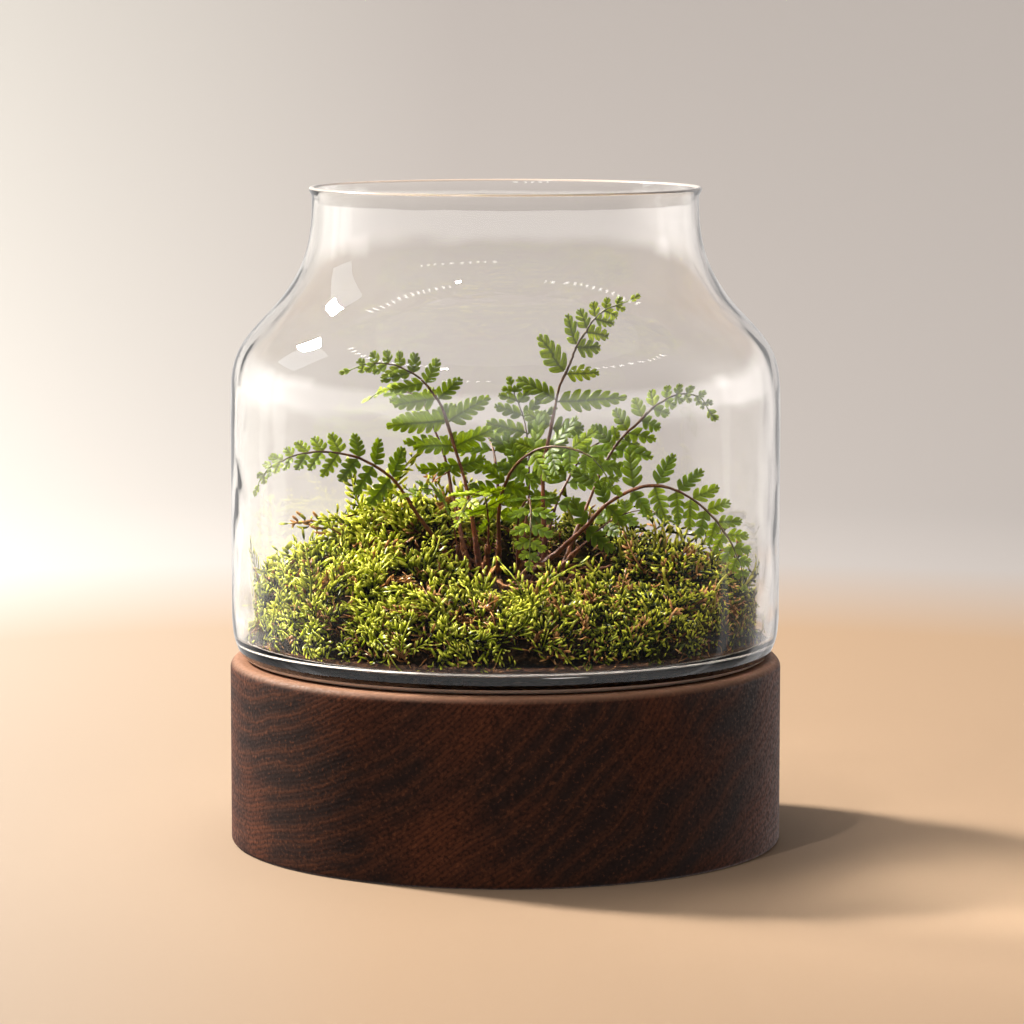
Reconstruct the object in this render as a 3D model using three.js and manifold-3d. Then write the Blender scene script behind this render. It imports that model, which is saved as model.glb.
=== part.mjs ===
// Glass plant terrarium: an open glass jar on a round walnut plinth. The jar holds a mound of soil,
// cushions of moss and a small fern. Millimetres, +Z up, with the origin at the middle of the
// plinth's underside and the side that is usually looked at towards -Y.

import * as THREE from "three";
import Module from "manifold-3d";
import { mergeVertices } from "three/addons/utils/BufferGeometryUtils.js";

const wasm = await Module();
wasm.setup();

// Plinth
const WOOD_RADIUS = 55;
const WOOD_HEIGHT = 36.6;
const WOOD_TOP_ROUND = 1.8;
const WOOD_FOOT_ROUND = 0.8;
const WOOD_SEGMENTS = 44;

// Jar, with heights measured from its foot
const GLASS_WALL = 1.7;
const GLASS_FLOOR = 3.6;
const JAR_HEIGHT = 93.8;
const JAR_RADIUS = 54.6;
const JAR_FOOT_RADIUS = 50.5;
const NECK_RADIUS = 38.3;
const LIP_RADIUS = 38.9;
const JAR_SEGMENTS = 32;

// Soil and what lies on it
const GAP = 0.35;
const SOIL_RADIUS = 50.3;
const SOIL_EDGE = 1.2;
const SOIL_MOUND = 10.6;
const SOIL_SEGMENTS = 28;
const MOSS_RADIUS = 49.8;
const MOSS_SPACING = 1;
const MOSS_EDGE = 0.9;
const CROWN_CENTRE = [1, -1.5];
const CROWN_HALF_LENGTH = 17;
const CROWN_HALF_WIDTH = 10;
const CROWN_PIT = 5.5;
const CROWN_HEIGHT = 4.2;

// Fern
const BLADE_THICKNESS = 0.68;
const STALK_THICKNESS = 1.25;
const RIB_HALF_WIDTH = 0.5;
const STALK_DEPTH = 4.4;
const HOLE_CLEARANCE = 0.35;

const JAR_FOOT = WOOD_HEIGHT;
const JAR_FLOOR = JAR_FOOT + GLASS_FLOOR;
const INNER_RADIUS = JAR_RADIUS - GLASS_WALL;

const object = new THREE.Group();

function material(colour, roughness, extra = {}) {
  return new THREE.MeshStandardMaterial({ color: colour, roughness, metalness: 0, ...extra });
}

const walnut = material(0x3c241b, 0.55);
const clearGlass = material(0xe8eeee, 0.03, { transparent: true, opacity: 0.3 });
const peat = material(0x2a1c13, 0.95);
const mossGreen = material(0x7c8a2c, 0.9);
const rootBrown = material(0x5a3521, 0.85);
const leafGreen = material(0x5c8f34, 0.6);

function addPiece(name, geometry, finish) {
  geometry.computeVertexNormals();
  const piece = new THREE.Mesh(geometry, finish);
  piece.name = name;
  object.add(piece);
}

// A repeatable number from 0 to 1 for each pair of whole numbers
function scatter(a, b) {
  const wave = Math.sin(a * 127.1 + b * 311.7) * 43758.5453;
  return wave - Math.floor(wave);
}

function geometryFrom(points, triangles) {
  const geometry = new THREE.BufferGeometry();
  geometry.setAttribute("position", new THREE.Float32BufferAttribute(points.flat(), 3));
  geometry.setIndex(triangles.flat());
  return geometry;
}

function toSolid(geometry) {
  const bare = geometry.clone();
  bare.deleteAttribute("normal");
  bare.deleteAttribute("uv");
  const merged = mergeVertices(bare, 1e-4);
  const vertProperties = new Float32Array(merged.attributes.position.array);
  const triVerts = new Uint32Array(merged.index.array);
  return new wasm.Manifold(new wasm.Mesh({ numProp: 3, vertProperties, triVerts }));
}

// The solid's largest body, so that a cut leaves no loose scrap
function toGeometry(solid) {
  const bodies = solid.decompose();
  bodies.sort((one, other) => other.volume() - one.volume());
  const mesh = bodies[0].getMesh();
  const geometry = new THREE.BufferGeometry();
  geometry.setAttribute("position", new THREE.Float32BufferAttribute(mesh.vertProperties, 3));
  geometry.setIndex(Array.from(mesh.triVerts));
  return geometry;
}

// Turned shapes

function arc(centreRadius, centreHeight, radius, fromDegrees, toDegrees, steps) {
  const points = [];
  for (let i = 0; i <= steps; i++) {
    const angle = THREE.MathUtils.degToRad(fromDegrees + ((toDegrees - fromDegrees) * i) / steps);
    points.push([centreRadius + radius * Math.cos(angle), centreHeight + radius * Math.sin(angle)]);
  }
  return points;
}

function turned(profile, segments, lift = 0) {
  const outline = profile.map(([radius, height]) => new THREE.Vector2(radius, height));
  const geometry = new THREE.LatheGeometry(outline, segments);
  geometry.rotateX(Math.PI / 2);
  geometry.translate(0, 0, lift);
  return geometry;
}

function woodBase() {
  const top = WOOD_TOP_ROUND;
  const foot = WOOD_FOOT_ROUND;
  const profile = [
    [0, 0],
    ...arc(WOOD_RADIUS - foot, foot, foot, -90, 0, 2),
    ...arc(WOOD_RADIUS - top, WOOD_HEIGHT - top, top, 0, 90, 4),
    [0, WOOD_HEIGHT],
  ];
  return turned(profile, WOOD_SEGMENTS);
}

// The jar's outer line from the heel to under the lip, as a curve through its own turning points
const jarOutside = new THREE.SplineCurve(
  [
    [JAR_RADIUS, 8],
    [JAR_RADIUS, 30],
    [JAR_RADIUS, 52],
    [54.1, 58.6],
    [52.2, 63],
    [48.4, 67.4],
    [44.4, 71.6],
    [40.7, 77.6],
    [38.9, 83],
    [NECK_RADIUS, 88.5],
    [NECK_RADIUS, 92],
  ].map(([radius, height]) => new THREE.Vector2(radius, height)),
);

// Where along that curve the outline has a corner, closer together round the shoulder
const jarStations = [0, 0.2, 0.27, 0.34, 0.42, 0.5, 0.6, 0.7, 0.82, 1];

function glassJar() {
  const outside = jarStations.map((station) => jarOutside.getPoint(station));
  const inside = jarStations.map((station) => {
    const point = jarOutside.getPoint(station);
    const along = jarOutside.getTangent(station);
    return [point.x - along.y * GLASS_WALL, point.y + along.x * GLASS_WALL];
  });
  inside.reverse();
  const lipRound = GLASS_WALL / 2;
  const innerHeel = 2.2;
  const profile = [
    [0, 0.4],
    [JAR_FOOT_RADIUS - 4, 0.4],
    [JAR_FOOT_RADIUS - 3, 0],
    [JAR_FOOT_RADIUS, 0],
    [53.2, 1.8],
    ...outside.map((point) => [point.x, point.y]),
    ...arc(LIP_RADIUS - lipRound, JAR_HEIGHT - lipRound, lipRound, 0, 180, 4),
    ...inside,
    ...arc(INNER_RADIUS - innerHeel, GLASS_FLOOR + innerHeel, innerHeel, 0, -90, 3),
    [0, GLASS_FLOOR],
  ];
  return turned(profile, JAR_SEGMENTS, JAR_FOOT);
}

// Ground: everything here is a height above a point of the jar's floor

function crownReach(x, y) {
  const along = (x - CROWN_CENTRE[0]) / CROWN_HALF_LENGTH;
  const across = (y - CROWN_CENTRE[1]) / CROWN_HALF_WIDTH;
  return Math.hypot(along, across);
}

function soilHeight(x, y) {
  const share = Math.min(1, Math.hypot(x, y) / SOIL_RADIUS);
  const mound = SOIL_EDGE + SOIL_MOUND * (1 - share * share) ** 0.95;
  const pit = CROWN_PIT * Math.max(0, 1 - crownReach(x, y) ** 2);
  return JAR_FLOOR + mound - pit;
}

// A closed block over a star-shaped plot: its top follows a height rule, its underside is flat
function plotBlock(centre, reach, rings, spokes, heightAt, bottom) {
  const points = [[centre[0], centre[1], heightAt(centre[0], centre[1], 0, 0, 0)]];
  const triangles = [];
  rings.forEach((share, ring) => {
    for (let spoke = 0; spoke < spokes; spoke++) {
      const angle = (2 * Math.PI * spoke) / spokes;
      const distance = reach(angle) * share;
      const x = centre[0] + distance * Math.cos(angle);
      const y = centre[1] + distance * Math.sin(angle);
      points.push([x, y, heightAt(x, y, share, ring + 1, spoke)]);
    }
  });
  const at = (ring, spoke) => (ring < 0 ? 0 : 1 + ring * spokes + (spoke % spokes));
  const last = rings.length - 1;
  const underside = points.length;
  for (let spoke = 0; spoke < spokes; spoke++) {
    const [x, y] = points[at(last, spoke)];
    points.push([x, y, bottom]);
  }
  points.push([centre[0], centre[1], bottom]);
  const below = (spoke) => underside + (spoke % spokes);
  const middle = underside + spokes;
  for (let spoke = 0; spoke < spokes; spoke++) {
    triangles.push([0, at(0, spoke), at(0, spoke + 1)]);
    for (let ring = 0; ring < last; ring++) {
      const near = at(ring, spoke);
      const nearNext = at(ring, spoke + 1);
      const far = at(ring + 1, spoke);
      const farNext = at(ring + 1, spoke + 1);
      if ((ring + spoke) % 2) {
        triangles.push([near, far, nearNext], [nearNext, far, farNext]);
      } else {
        triangles.push([near, far, farNext], [near, farNext, nearNext]);
      }
    }
    const rim = at(last, spoke);
    const rimNext = at(last, spoke + 1);
    triangles.push([rim, below(spoke), below(spoke + 1)], [rim, below(spoke + 1), rimNext]);
    triangles.push([middle, below(spoke + 1), below(spoke)]);
  }
  return geometryFrom(points, triangles);
}

const soilBlock = plotBlock(
  [0, 0],
  () => SOIL_RADIUS,
  [0.13, 0.26, 0.4, 0.6, 0.82, 1],
  SOIL_SEGMENTS,
  soilHeight,
  JAR_FLOOR,
);
const raisedSoil = toSolid(soilBlock).translate([0, 0, GAP]);

// Moss: each cushion has a middle, and rises by its own amount over the soil
const cushions = {
  moss_back_left: { centre: [-21, 22], rise: 9 },
  moss_left: { centre: [-38, 3], rise: 6 },
  moss_front_left: { centre: [-24, -20], rise: 5.4 },
  moss_front_low: { centre: [-10, -39], rise: 3.4 },
  moss_front: { centre: [7, -24], rise: 3.2 },
  moss_front_right: { centre: [26, -33], rise: 3.8 },
  moss_right: { centre: [34, -6], rise: 5.2 },
  moss_back_right: { centre: [27, 24], rise: 6 },
  moss_back: { centre: [3, 32], rise: 7 },
};
const MOSS_SPOKES = 26;
const MOSS_MARCH = 0.25;
const MOSS_ROUNDING = 7;
const TUFT_SPACING = 3.5;
const TUFT_HEIGHT = 3.1;

// A cushion's edge winds: distances to its middle are measured from a point moved along slow waves
function winding(x, y) {
  return [x + 2.6 * Math.sin(y / 7 + 0.6), y + 2.6 * Math.sin(x / 8 + 2)];
}

// How deep a point lies inside a cushion's plot, below zero outside it
function depthInPlot(name, x, y) {
  const place = winding(x, y);
  const distanceTo = (other) => {
    const centre = winding(...cushions[other].centre);
    return Math.hypot(place[0] - centre[0], place[1] - centre[1]);
  };
  const own = distanceTo(name);
  const others = Object.keys(cushions).filter((other) => other !== name);
  const nearest = Math.min(...others.map(distanceTo));
  const toNeighbour = (nearest - own - MOSS_SPACING) / 2;
  const toCrown = (crownReach(x, y) - 1) * CROWN_HALF_WIDTH - MOSS_SPACING;
  const toGlass = MOSS_RADIUS - Math.hypot(x, y);
  return Math.min(toNeighbour, toCrown, toGlass);
}

function plotReach(name) {
  const [x, y] = cushions[name].centre;
  return (angle) => {
    let distance = MOSS_MARCH;
    while (depthInPlot(name, x + distance * Math.cos(angle), y + distance * Math.sin(angle)) > 0) {
      distance += MOSS_MARCH;
    }
    return distance - MOSS_MARCH;
  };
}

// A closed block on a triangular grid of tufts, every third of which stands up from the others
function tuftBlock([middleX, middleY], heightAt, bottom) {
  const rows = 2 * Math.ceil(30 / TUFT_SPACING);
  const points = [];
  const triangles = [];
  for (let layer = 0; layer < 2; layer++) {
    for (let row = 0; row <= rows; row++) {
      for (let column = 0; column <= rows; column++) {
        const shift = row % 2 ? 0.5 : 0;
        const x = middleX + (column + shift - rows / 2) * TUFT_SPACING;
        const y = middleY + (row - rows / 2) * TUFT_SPACING * 0.866;
        points.push([x, y, layer ? bottom : heightAt(x, y, row, column)]);
      }
    }
  }
  const width = rows + 1;
  const layerSize = width * width;
  for (let row = 0; row < rows; row++) {
    for (let column = 0; column < rows; column++) {
      const a = row * width + column;
      const [b, c, d] = [a + 1, a + width, a + width + 1];
      const cell = row % 2 ? [[a, b, d], [a, d, c]] : [[a, b, c], [b, d, c]];
      for (const [i, j, k] of cell) {
        triangles.push([i, j, k], [k + layerSize, j + layerSize, i + layerSize]);
      }
    }
  }
  const wall = (from, to) => {
    triangles.push([from, from + layerSize, to + layerSize], [from, to + layerSize, to]);
  };
  for (let i = 0; i < rows; i++) {
    wall(i, i + 1);
    wall((i + 1) * width - 1, (i + 2) * width - 1);
    wall(rows * width + i + 1, rows * width + i);
    wall((i + 1) * width, i * width);
  }
  return geometryFrom(points, triangles);
}

function mossCushion(name, seed) {
  const { centre, rise } = cushions[name];
  const heightAt = (x, y, row, column) => {
    const depth = Math.min(1, Math.max(0, depthInPlot(name, x, y)) / MOSS_ROUNDING);
    const dome = Math.sqrt(1 - (1 - depth) ** 2);
    const raised = (column + 2 * (row % 2)) % 3 === 0;
    const tuft = raised ? TUFT_HEIGHT * (0.5 + 0.5 * scatter(row + 10 * seed, column)) : 0;
    return soilHeight(x, y) + GAP + MOSS_EDGE + rise * dome + tuft;
  };
  const bottom = JAR_FLOOR + GAP;
  const plot = plotBlock(centre, plotReach(name), [1], MOSS_SPOKES, () => JAR_FOOT + JAR_HEIGHT, bottom);
  const tufts = toSolid(tuftBlock(centre, heightAt, JAR_FOOT));
  return toGeometry(tufts.intersect(toSolid(plot)).subtract(raisedSoil));
}

// Fern. Each frond has the route of its stalk from the crown to the tip, the way its upper side
// looks, and its pairs of leaflets: how far along the stalk, and how long on the left and right.
// Left and right are as seen from above the upper side, looking towards the tip.
const fronds = {
  frond_left_low: {
    route: [[-10.8, -3, 56], [-16.6, -5, 64.6], [-22.8, -7, 73.2], [-31.9, -8.5, 78], [-42.1, -9, 77.6],
      [-46.8, -8.6, 75], [-48.6, -8, 71.5]],
    face: [-0.1, -0.62, 0.78],
    pairs: [[0.41, 8.6, 8.6], [0.49, 8.8, 7.6], [0.56, 7.4, 6.6], [0.63, 7, 5.8], [0.695, 5.4, 5],
      [0.755, 4.6, 4.2], [0.81, 3.7, 3.4], [0.86, 2.9, 2.8], [0.905, 2.2, 2.2], [0.95, 1.5, 1.6]],
  },
  frond_left_high: {
    route: [[-5.5, 0.5, 57], [-8.1, 3, 70.8], [-10.1, 5, 78], [-12.9, 7, 85.5], [-18.8, 9, 92.6],
      [-26.5, 10.5, 94.9], [-31.6, 11, 93]],
    face: [0.1, -0.8, 0.5],
    pairs: [[0.343, 4, 5.2], [0.42, 8, 8.4], [0.51, 12, 9.8], [0.597, 8.6, 7.2], [0.675, 7, 6.6],
      [0.743, 6.4, 4.4], [0.79, 4.6, 3.5], [0.845, 3.6, 2.8], [0.89, 2.8, 2.3], [0.935, 2, 1.8]],
  },
  frond_back_left: {
    route: [[-8, 3.6, 57], [-10.8, 9, 68.7], [-14, 15, 80], [-18, 20, 86], [-24, 25, 87.5], [-28.5, 28, 85]],
    face: [0.15, -0.55, 0.8],
    pairs: [[0.36, 5.6, 5.4], [0.48, 7.4, 7], [0.59, 7, 6.6], [0.69, 6, 5.4], [0.78, 4.6, 4.2],
      [0.86, 3.2, 3], [0.925, 2, 2]],
  },
  frond_left_short: {
    route: [[-8.7, -5, 56.2], [-10.8, -7.4, 65.4], [-12.8, -10, 70], [-15.6, -12, 71.6], [-18.9, -13.4, 70.6]],
    face: [-0.1, -0.45, 0.88],
    pairs: [[0.56, 5.2, 4.4], [0.7, 4.4, 3.8], [0.82, 3, 2.8], [0.92, 1.8, 1.8]],
  },
  frond_tall: {
    route: [[8, 1, 56.6], [7.6, 4, 72.3], [9.2, 6, 81.3], [11, 7, 89.5], [14.2, 7, 97.3], [19.1, 6, 103.6],
      [25, 4.4, 106.8]],
    face: [-0.25, -0.85, 0.4],
    pairs: [[0.36, 7, 6.6], [0.45, 6.4, 6.6], [0.54, 9.8, 14], [0.655, 8.8, 6.8], [0.745, 5.8, 4.8],
      [0.8, 4.2, 5], [0.855, 3.2, 4.2], [0.9, 2.6, 3], [0.945, 1.9, 2.2]],
  },
  frond_middle: {
    route: [[3.5, 4, 57.4], [4.8, 8, 68], [4.8, 11, 77.3], [3.4, 13, 83.4], [1.2, 14.4, 89.6]],
    face: [-0.1, -0.82, 0.45],
    pairs: [[0.3, 6.4, 6.2], [0.43, 8, 7.6], [0.57, 8.8, 8], [0.7, 8.4, 7.6], [0.8, 5.8, 5.4], [0.88, 4, 3.8], [0.945, 2.4, 2.4]],
  },
  frond_right_high: {
    route: [[12.2, 3, 56.2], [16, 7, 65.1], [21.1, 11, 75.8], [27.3, 14, 82.4], [34.6, 15, 87],
      [39.6, 15, 86.4], [41.6, 14, 84]],
    face: [-0.2, -0.75, 0.55],
    pairs: [[0.33, 5.8, 5.4], [0.41, 6.8, 6.4], [0.5, 6.6, 8], [0.59, 5.8, 6], [0.66, 4.8, 4.6],
      [0.73, 3.8, 3.6], [0.785, 3, 2.8], [0.83, 2.5, 2.3], [0.875, 2.1, 2], [0.92, 1.8, 1.7], [0.96, 1.4, 1.3]],
  },
  frond_right_low: {
    route: [[8.6, -3.6, 56.4], [15.7, -6, 63.2], [20.5, -8, 68.2], [27, -9, 71.7], [33.8, -10, 70.9],
      [41.5, -11, 65], [45.9, -12, 56.5], [46.8, -12, 52.4]],
    face: [0.15, -0.8, 0.5],
    pairs: [[0.19, 6, 7.4], [0.3, 5.4, 5.6], [0.41, 8.2, 6.2], [0.493, 7.8, 7], [0.569, 7.2, 7],
      [0.634, 6.2, 6.4], [0.695, 5.4, 6], [0.752, 4.8, 5.4], [0.805, 4.3, 4.5], [0.855, 3.6, 3.6], [0.9, 2.8, 2.9],
      [0.945, 1.9, 2]],
  },
  frond_front_right: {
    route: [[-1.4, -2.4, 57], [-0.9, -8, 69], [2.3, -13, 76.5], [8.5, -18, 80.4], [16.4, -24, 79], [21, -27.5, 73.4]],
    face: [0.1, -0.5, 0.85],
    pairs: [[0.34, 5.4, 5.4], [0.45, 7, 6.8], [0.555, 7.8, 7.4], [0.65, 7.2, 7], [0.74, 6, 5.8], [0.82, 4.8, 4.6], [0.89, 3.4, 3.4], [0.945, 2.2, 2.2]],
  },
  frond_front: {
    route: [[2.6, -6, 56.2], [2.8, -12, 66.4], [4.6, -18, 70.2], [5, -26, 66.4], [4.6, -31, 59.4]],
    face: [0, -0.4, 0.9],
    pairs: [[0.35, 4.6, 3.8], [0.515, 5.2, 4.6], [0.665, 5.2, 4.8], [0.785, 4.6, 4.2], [0.875, 3.4, 3.3], [0.945, 2.2, 2.2]],
  },
  frond_front_left: {
    route: [[-3.8, -5.6, 56.4], [-3.4, -9.6, 66], [-4.4, -14.4, 71], [-6.6, -19.2, 70.8], [-9, -23.8, 66.6]],
    face: [-0.2, -0.35, 0.9],
    pairs: [[0.42, 4, 5], [0.56, 4.6, 5.8], [0.7, 4.2, 5.2], [0.82, 3.2, 3.8], [0.92, 2.2, 2.4]],
  },
  frond_right_short: {
    route: [[12.2, -2, 56], [17, -1.4, 60.8], [22.5, -0.4, 64.6], [28.5, 0.6, 65.6], [33, 1.2, 63.6]],
    face: [0.1, -0.35, 0.9],
    pairs: [[0.44, 5, 4.6], [0.6, 5.4, 5], [0.74, 4.4, 4.2], [0.86, 3, 3], [0.94, 2, 2]],
  },
  frond_back_right: {
    route: [[7.4, 5.8, 57], [9.8, 10, 64], [13, 14.6, 71], [17.6, 19.6, 76.4], [23.4, 24.4, 78], [27.6, 27.4, 75.6]],
    face: [-0.1, -0.62, 0.78],
    pairs: [[0.28, 6.4, 6.2], [0.41, 8, 7.6], [0.53, 8.2, 7.8], [0.64, 7, 6.6], [0.74, 5.6, 5.4], [0.83, 4.4, 4.2], [0.905, 3, 3], [0.955, 2, 2]],
  },
  frond_back: {
    route: [[-1.6, 6, 57], [-1.4, 11.6, 67], [-2.4, 18, 75], [-4.4, 25.4, 79], [-7, 32.6, 78], [-8.6, 37, 74.4]],
    face: [0, -0.5, 0.85],
    pairs: [[0.3, 6, 6], [0.42, 7.6, 7.6], [0.53, 7.8, 7.8], [0.64, 6.8, 6.8], [0.74, 5.6, 5.6], [0.83, 4.4, 4.4], [0.905, 3, 3], [0.955, 2, 2]],
  },
};

// Half of a leaflet's outline, from the stalk to its tip: [how far out, how far to the side].
// It is cut to the midrib between its lobes; a longer leaflet has more of them.
function leafletSide(length, room) {
  const lobes = length > 8.2 ? 3 : length > 5 ? 2 : length > 3.1 ? 1 : 0;
  const width = Math.min(0.42 * length, 0.95 + 0.125 * length, WIDTH_SHARE * room);
  if (lobes === 0) return [[length * 0.5, width]];
  const points = [];
  const step = 0.86 / (lobes + 0.5);
  for (let lobe = 0; lobe < lobes; lobe++) {
    const start = 0.07 + step * lobe;
    const taper = 1 - (0.5 * lobe) / (lobes + 0.4);
    points.push([length * (start + step * 0.66), width * taper]);
    points.push([length * (start + step * 0.94), Math.max(RIB_HALF_WIDTH, 0.3 * width * taper)]);
  }
  points.push([length * 0.88, Math.max(RIB_HALF_WIDTH * 0.9, 0.3 * width)]);
  return points;
}

// Leaflets stand square to the stalk low down and lean towards its tip higher up
const LEAFLET_ANGLE_LOW = 86;
const LEAFLET_ANGLE_HIGH = 50;
const LEAFLET_DROOP = 0.012;
const ALTERNATE = 0.35;
const WIDTH_SHARE = 0.39;

function stalkFrame(curve, share, face) {
  const point = curve.getPointAt(share);
  const along = curve.getTangentAt(share);
  const up = new THREE.Vector3(...face);
  up.addScaledVector(along, -up.dot(along)).normalize();
  const left = new THREE.Vector3().crossVectors(up, along);
  return { point, along, up, left };
}

// The stalk's route with a straight root end that stands in the crown
function stalkCurve(route) {
  const first = new THREE.Vector3(...route[0]);
  const second = new THREE.Vector3(...route[1]);
  const down = first.clone().sub(second).normalize();
  const root = first.clone().addScaledVector(down, STALK_DEPTH);
  const curve = new THREE.CatmullRomCurve3([root, first, second, ...route.slice(2).map((p) => new THREE.Vector3(...p))]);
  curve.curveType = "centripetal";
  return curve;
}

// A frond is one sheet, cut to the ribs, as thick as a stalk at its root and as a blade above it
function frond({ route, face, pairs }) {
  const curve = stalkCurve(route);
  const length = curve.getLength();
  const rootShare = STALK_DEPTH / length;
  const toShare = (share) => rootShare + (1 - rootShare) * share;
  const middle = [];
  const ups = [];
  const thickness = [];
  const sheet = [];
  const addPoint = (point, up, thick) => {
    middle.push(point);
    ups.push(up);
    thickness.push(thick);
    return middle.length - 1;
  };
  const rung = (share, half, thick) => {
    const { point, up, left, along } = stalkFrame(curve, Math.min(share, 1), face);
    const slip = (ALTERNATE * (share > toShare(pairs[0][0]) - 0.02 ? 1 : 0)) / 2;
    const leftPoint = point.clone().addScaledVector(left, half).addScaledVector(along, slip);
    const rightPoint = point.clone().addScaledVector(left, -half).addScaledVector(along, -slip);
    return [addPoint(leftPoint, up, thick), addPoint(rightPoint, up, thick)];
  };
  const leaflet = (share, size, side, [inner, outer], angle, room) => {
    const { along, up, left } = stalkFrame(curve, share, face);
    const out = along.clone().multiplyScalar(Math.cos(angle)).addScaledVector(left, side * Math.sin(angle));
    const across = along.clone().multiplyScalar(Math.sin(angle)).addScaledVector(left, -side * Math.cos(angle));
    const base = middle[inner].clone().add(middle[outer]).multiplyScalar(0.5);
    const place = ([far, wide], way) => {
      const point = base.clone().addScaledVector(out, far).addScaledVector(across, way * wide);
      point.addScaledVector(up, -LEAFLET_DROOP * far * far);
      return addPoint(point, up, BLADE_THICKNESS);
    };
    const half = leafletSide(size, room);
    const near = half.map((spot) => place(spot, -1));
    const far = half.map((spot) => place(spot, 1));
    const tip = place([size, 0], 0);
    const outline = [[0, -RIB_HALF_WIDTH], ...half.map(([a, b]) => [a, -b]), [size, 0]];
    outline.push(...half.map(([a, b]) => [a, b]).reverse(), [0, RIB_HALF_WIDTH]);
    const corners = [inner, ...near, tip, ...far.reverse(), outer];
    const flat = outline.map(([a, b]) => new THREE.Vector2(a, b));
    for (const [a, b, c] of THREE.ShapeUtils.triangulateShape(flat, [])) {
      sheet.push(side > 0 ? [corners[a], corners[c], corners[b]] : [corners[a], corners[b], corners[c]]);
    }
  };
  const ladder = [];
  const stalkShares = [0, rootShare, toShare(pairs[0][0]) * 0.35 + rootShare * 0.65, toShare(pairs[0][0]) * 0.72];
  for (const share of stalkShares) ladder.push(rung(share, STALK_THICKNESS / 2, STALK_THICKNESS));
  pairs.forEach(([where, leftSize, rightSize], i) => {
    const room = (1 - rootShare) * length * Math.min(where - (pairs[i - 1]?.[0] ?? 0), (pairs[i + 1]?.[0] ?? 1) - where);
    const share = toShare(where);
    const half = RIB_HALF_WIDTH / length;
    const high = (where - pairs[0][0]) / (1 - pairs[0][0]);
    const angle = THREE.MathUtils.degToRad(THREE.MathUtils.lerp(LEAFLET_ANGLE_LOW, LEAFLET_ANGLE_HIGH, high));
    const before = rung(share - half, RIB_HALF_WIDTH, BLADE_THICKNESS);
    const after = rung(share + half, RIB_HALF_WIDTH, BLADE_THICKNESS);
    leaflet(share, leftSize, 1, [before[0], after[0]], angle, room);
    leaflet(share, rightSize, -1, [before[1], after[1]], angle, room);
    ladder.push(before, after);
  });
  const end = stalkFrame(curve, 1, face);
  const tip = addPoint(end.point, end.up, BLADE_THICKNESS);
  for (let i = 1; i < ladder.length; i++) {
    const [left, right] = ladder[i - 1];
    const [leftNext, rightNext] = ladder[i];
    sheet.push([left, right, rightNext], [left, rightNext, leftNext]);
  }
  sheet.push([ladder.at(-1)[0], ladder.at(-1)[1], tip]);
  return thickened(middle, ups, thickness, sheet);
}

// A closed solid from one sheet of triangles: both faces alike, joined round the sheet's edge
function thickened(middle, ups, thickness, sheet) {
  const count = middle.length;
  const lift = (way) => middle.map((point, i) => point.clone().addScaledVector(ups[i], (way * thickness[i]) / 2).toArray());
  const points = [...lift(1), ...lift(-1)];
  const triangles = [];
  const edges = new Map();
  for (const [a, b, c] of sheet) {
    triangles.push([a, b, c], [c + count, b + count, a + count]);
    for (const [from, to] of [[a, b], [b, c], [c, a]]) {
      if (!edges.delete(`${to} ${from}`)) edges.set(`${from} ${to}`, [from, to]);
    }
  }
  for (const [from, to] of edges.values()) {
    triangles.push([from, from + count, to + count], [from, to + count, to]);
  }
  return geometryFrom(points, triangles);
}

// Crown: a knotty rootstock with a plain hole for each stalk, and wiry roots over the soil
const roots = [
  [[-1, -2.4, 56], [-3, -6.4, 57], [-0.5, -8.6, 56.2], [4, -8.6, 57.2], [7.4, -6.8, 55]],
  [[-6, -1, 56], [-11, -5, 56.4], [-12.6, -5.4, 53.6]],
  [[9, 0, 56], [14, -2.4, 56.6], [15.4, -3, 53.6]],
  [[-4, 3, 56], [-9, 6.2, 57], [-11.4, 6, 53.6]],
  [[5, 2, 56], [10, 7, 56.8], [11.8, 6.6, 53.6]],
];
const ROOT_RADIUS = 0.55;

function rootTube(route) {
  const curve = new THREE.CatmullRomCurve3(route.map((p) => new THREE.Vector3(...p)));
  const section = new THREE.Shape();
  section.absarc(0, 0, ROOT_RADIUS, 0, 2 * Math.PI);
  return new THREE.ExtrudeGeometry(section, { curveSegments: 2, steps: 5, bevelEnabled: false, extrudePath: curve });
}

function stalkHole({ route, face }) {
  const curve = stalkCurve(route);
  const rootShare = STALK_DEPTH / curve.getLength();
  const half = STALK_THICKNESS / 2 + HOLE_CLEARANCE;
  const points = [];
  for (const share of [0, rootShare * 2.6]) {
    const { point, along, up, left } = stalkFrame(curve, share, face);
    if (share === 0) point.addScaledVector(along, -HOLE_CLEARANCE);
    for (const [a, b] of [[1, 1], [-1, 1], [-1, -1], [1, -1]]) {
      points.push(point.clone().addScaledVector(left, a * half).addScaledVector(up, b * half).toArray());
    }
  }
  const triangles = [[0, 2, 1], [0, 3, 2], [4, 5, 6], [4, 6, 7]];
  for (let i = 0; i < 4; i++) {
    const j = (i + 1) % 4;
    triangles.push([i, j, j + 4], [i, j + 4, i + 4]);
  }
  return toSolid(geometryFrom(points, triangles));
}

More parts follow.
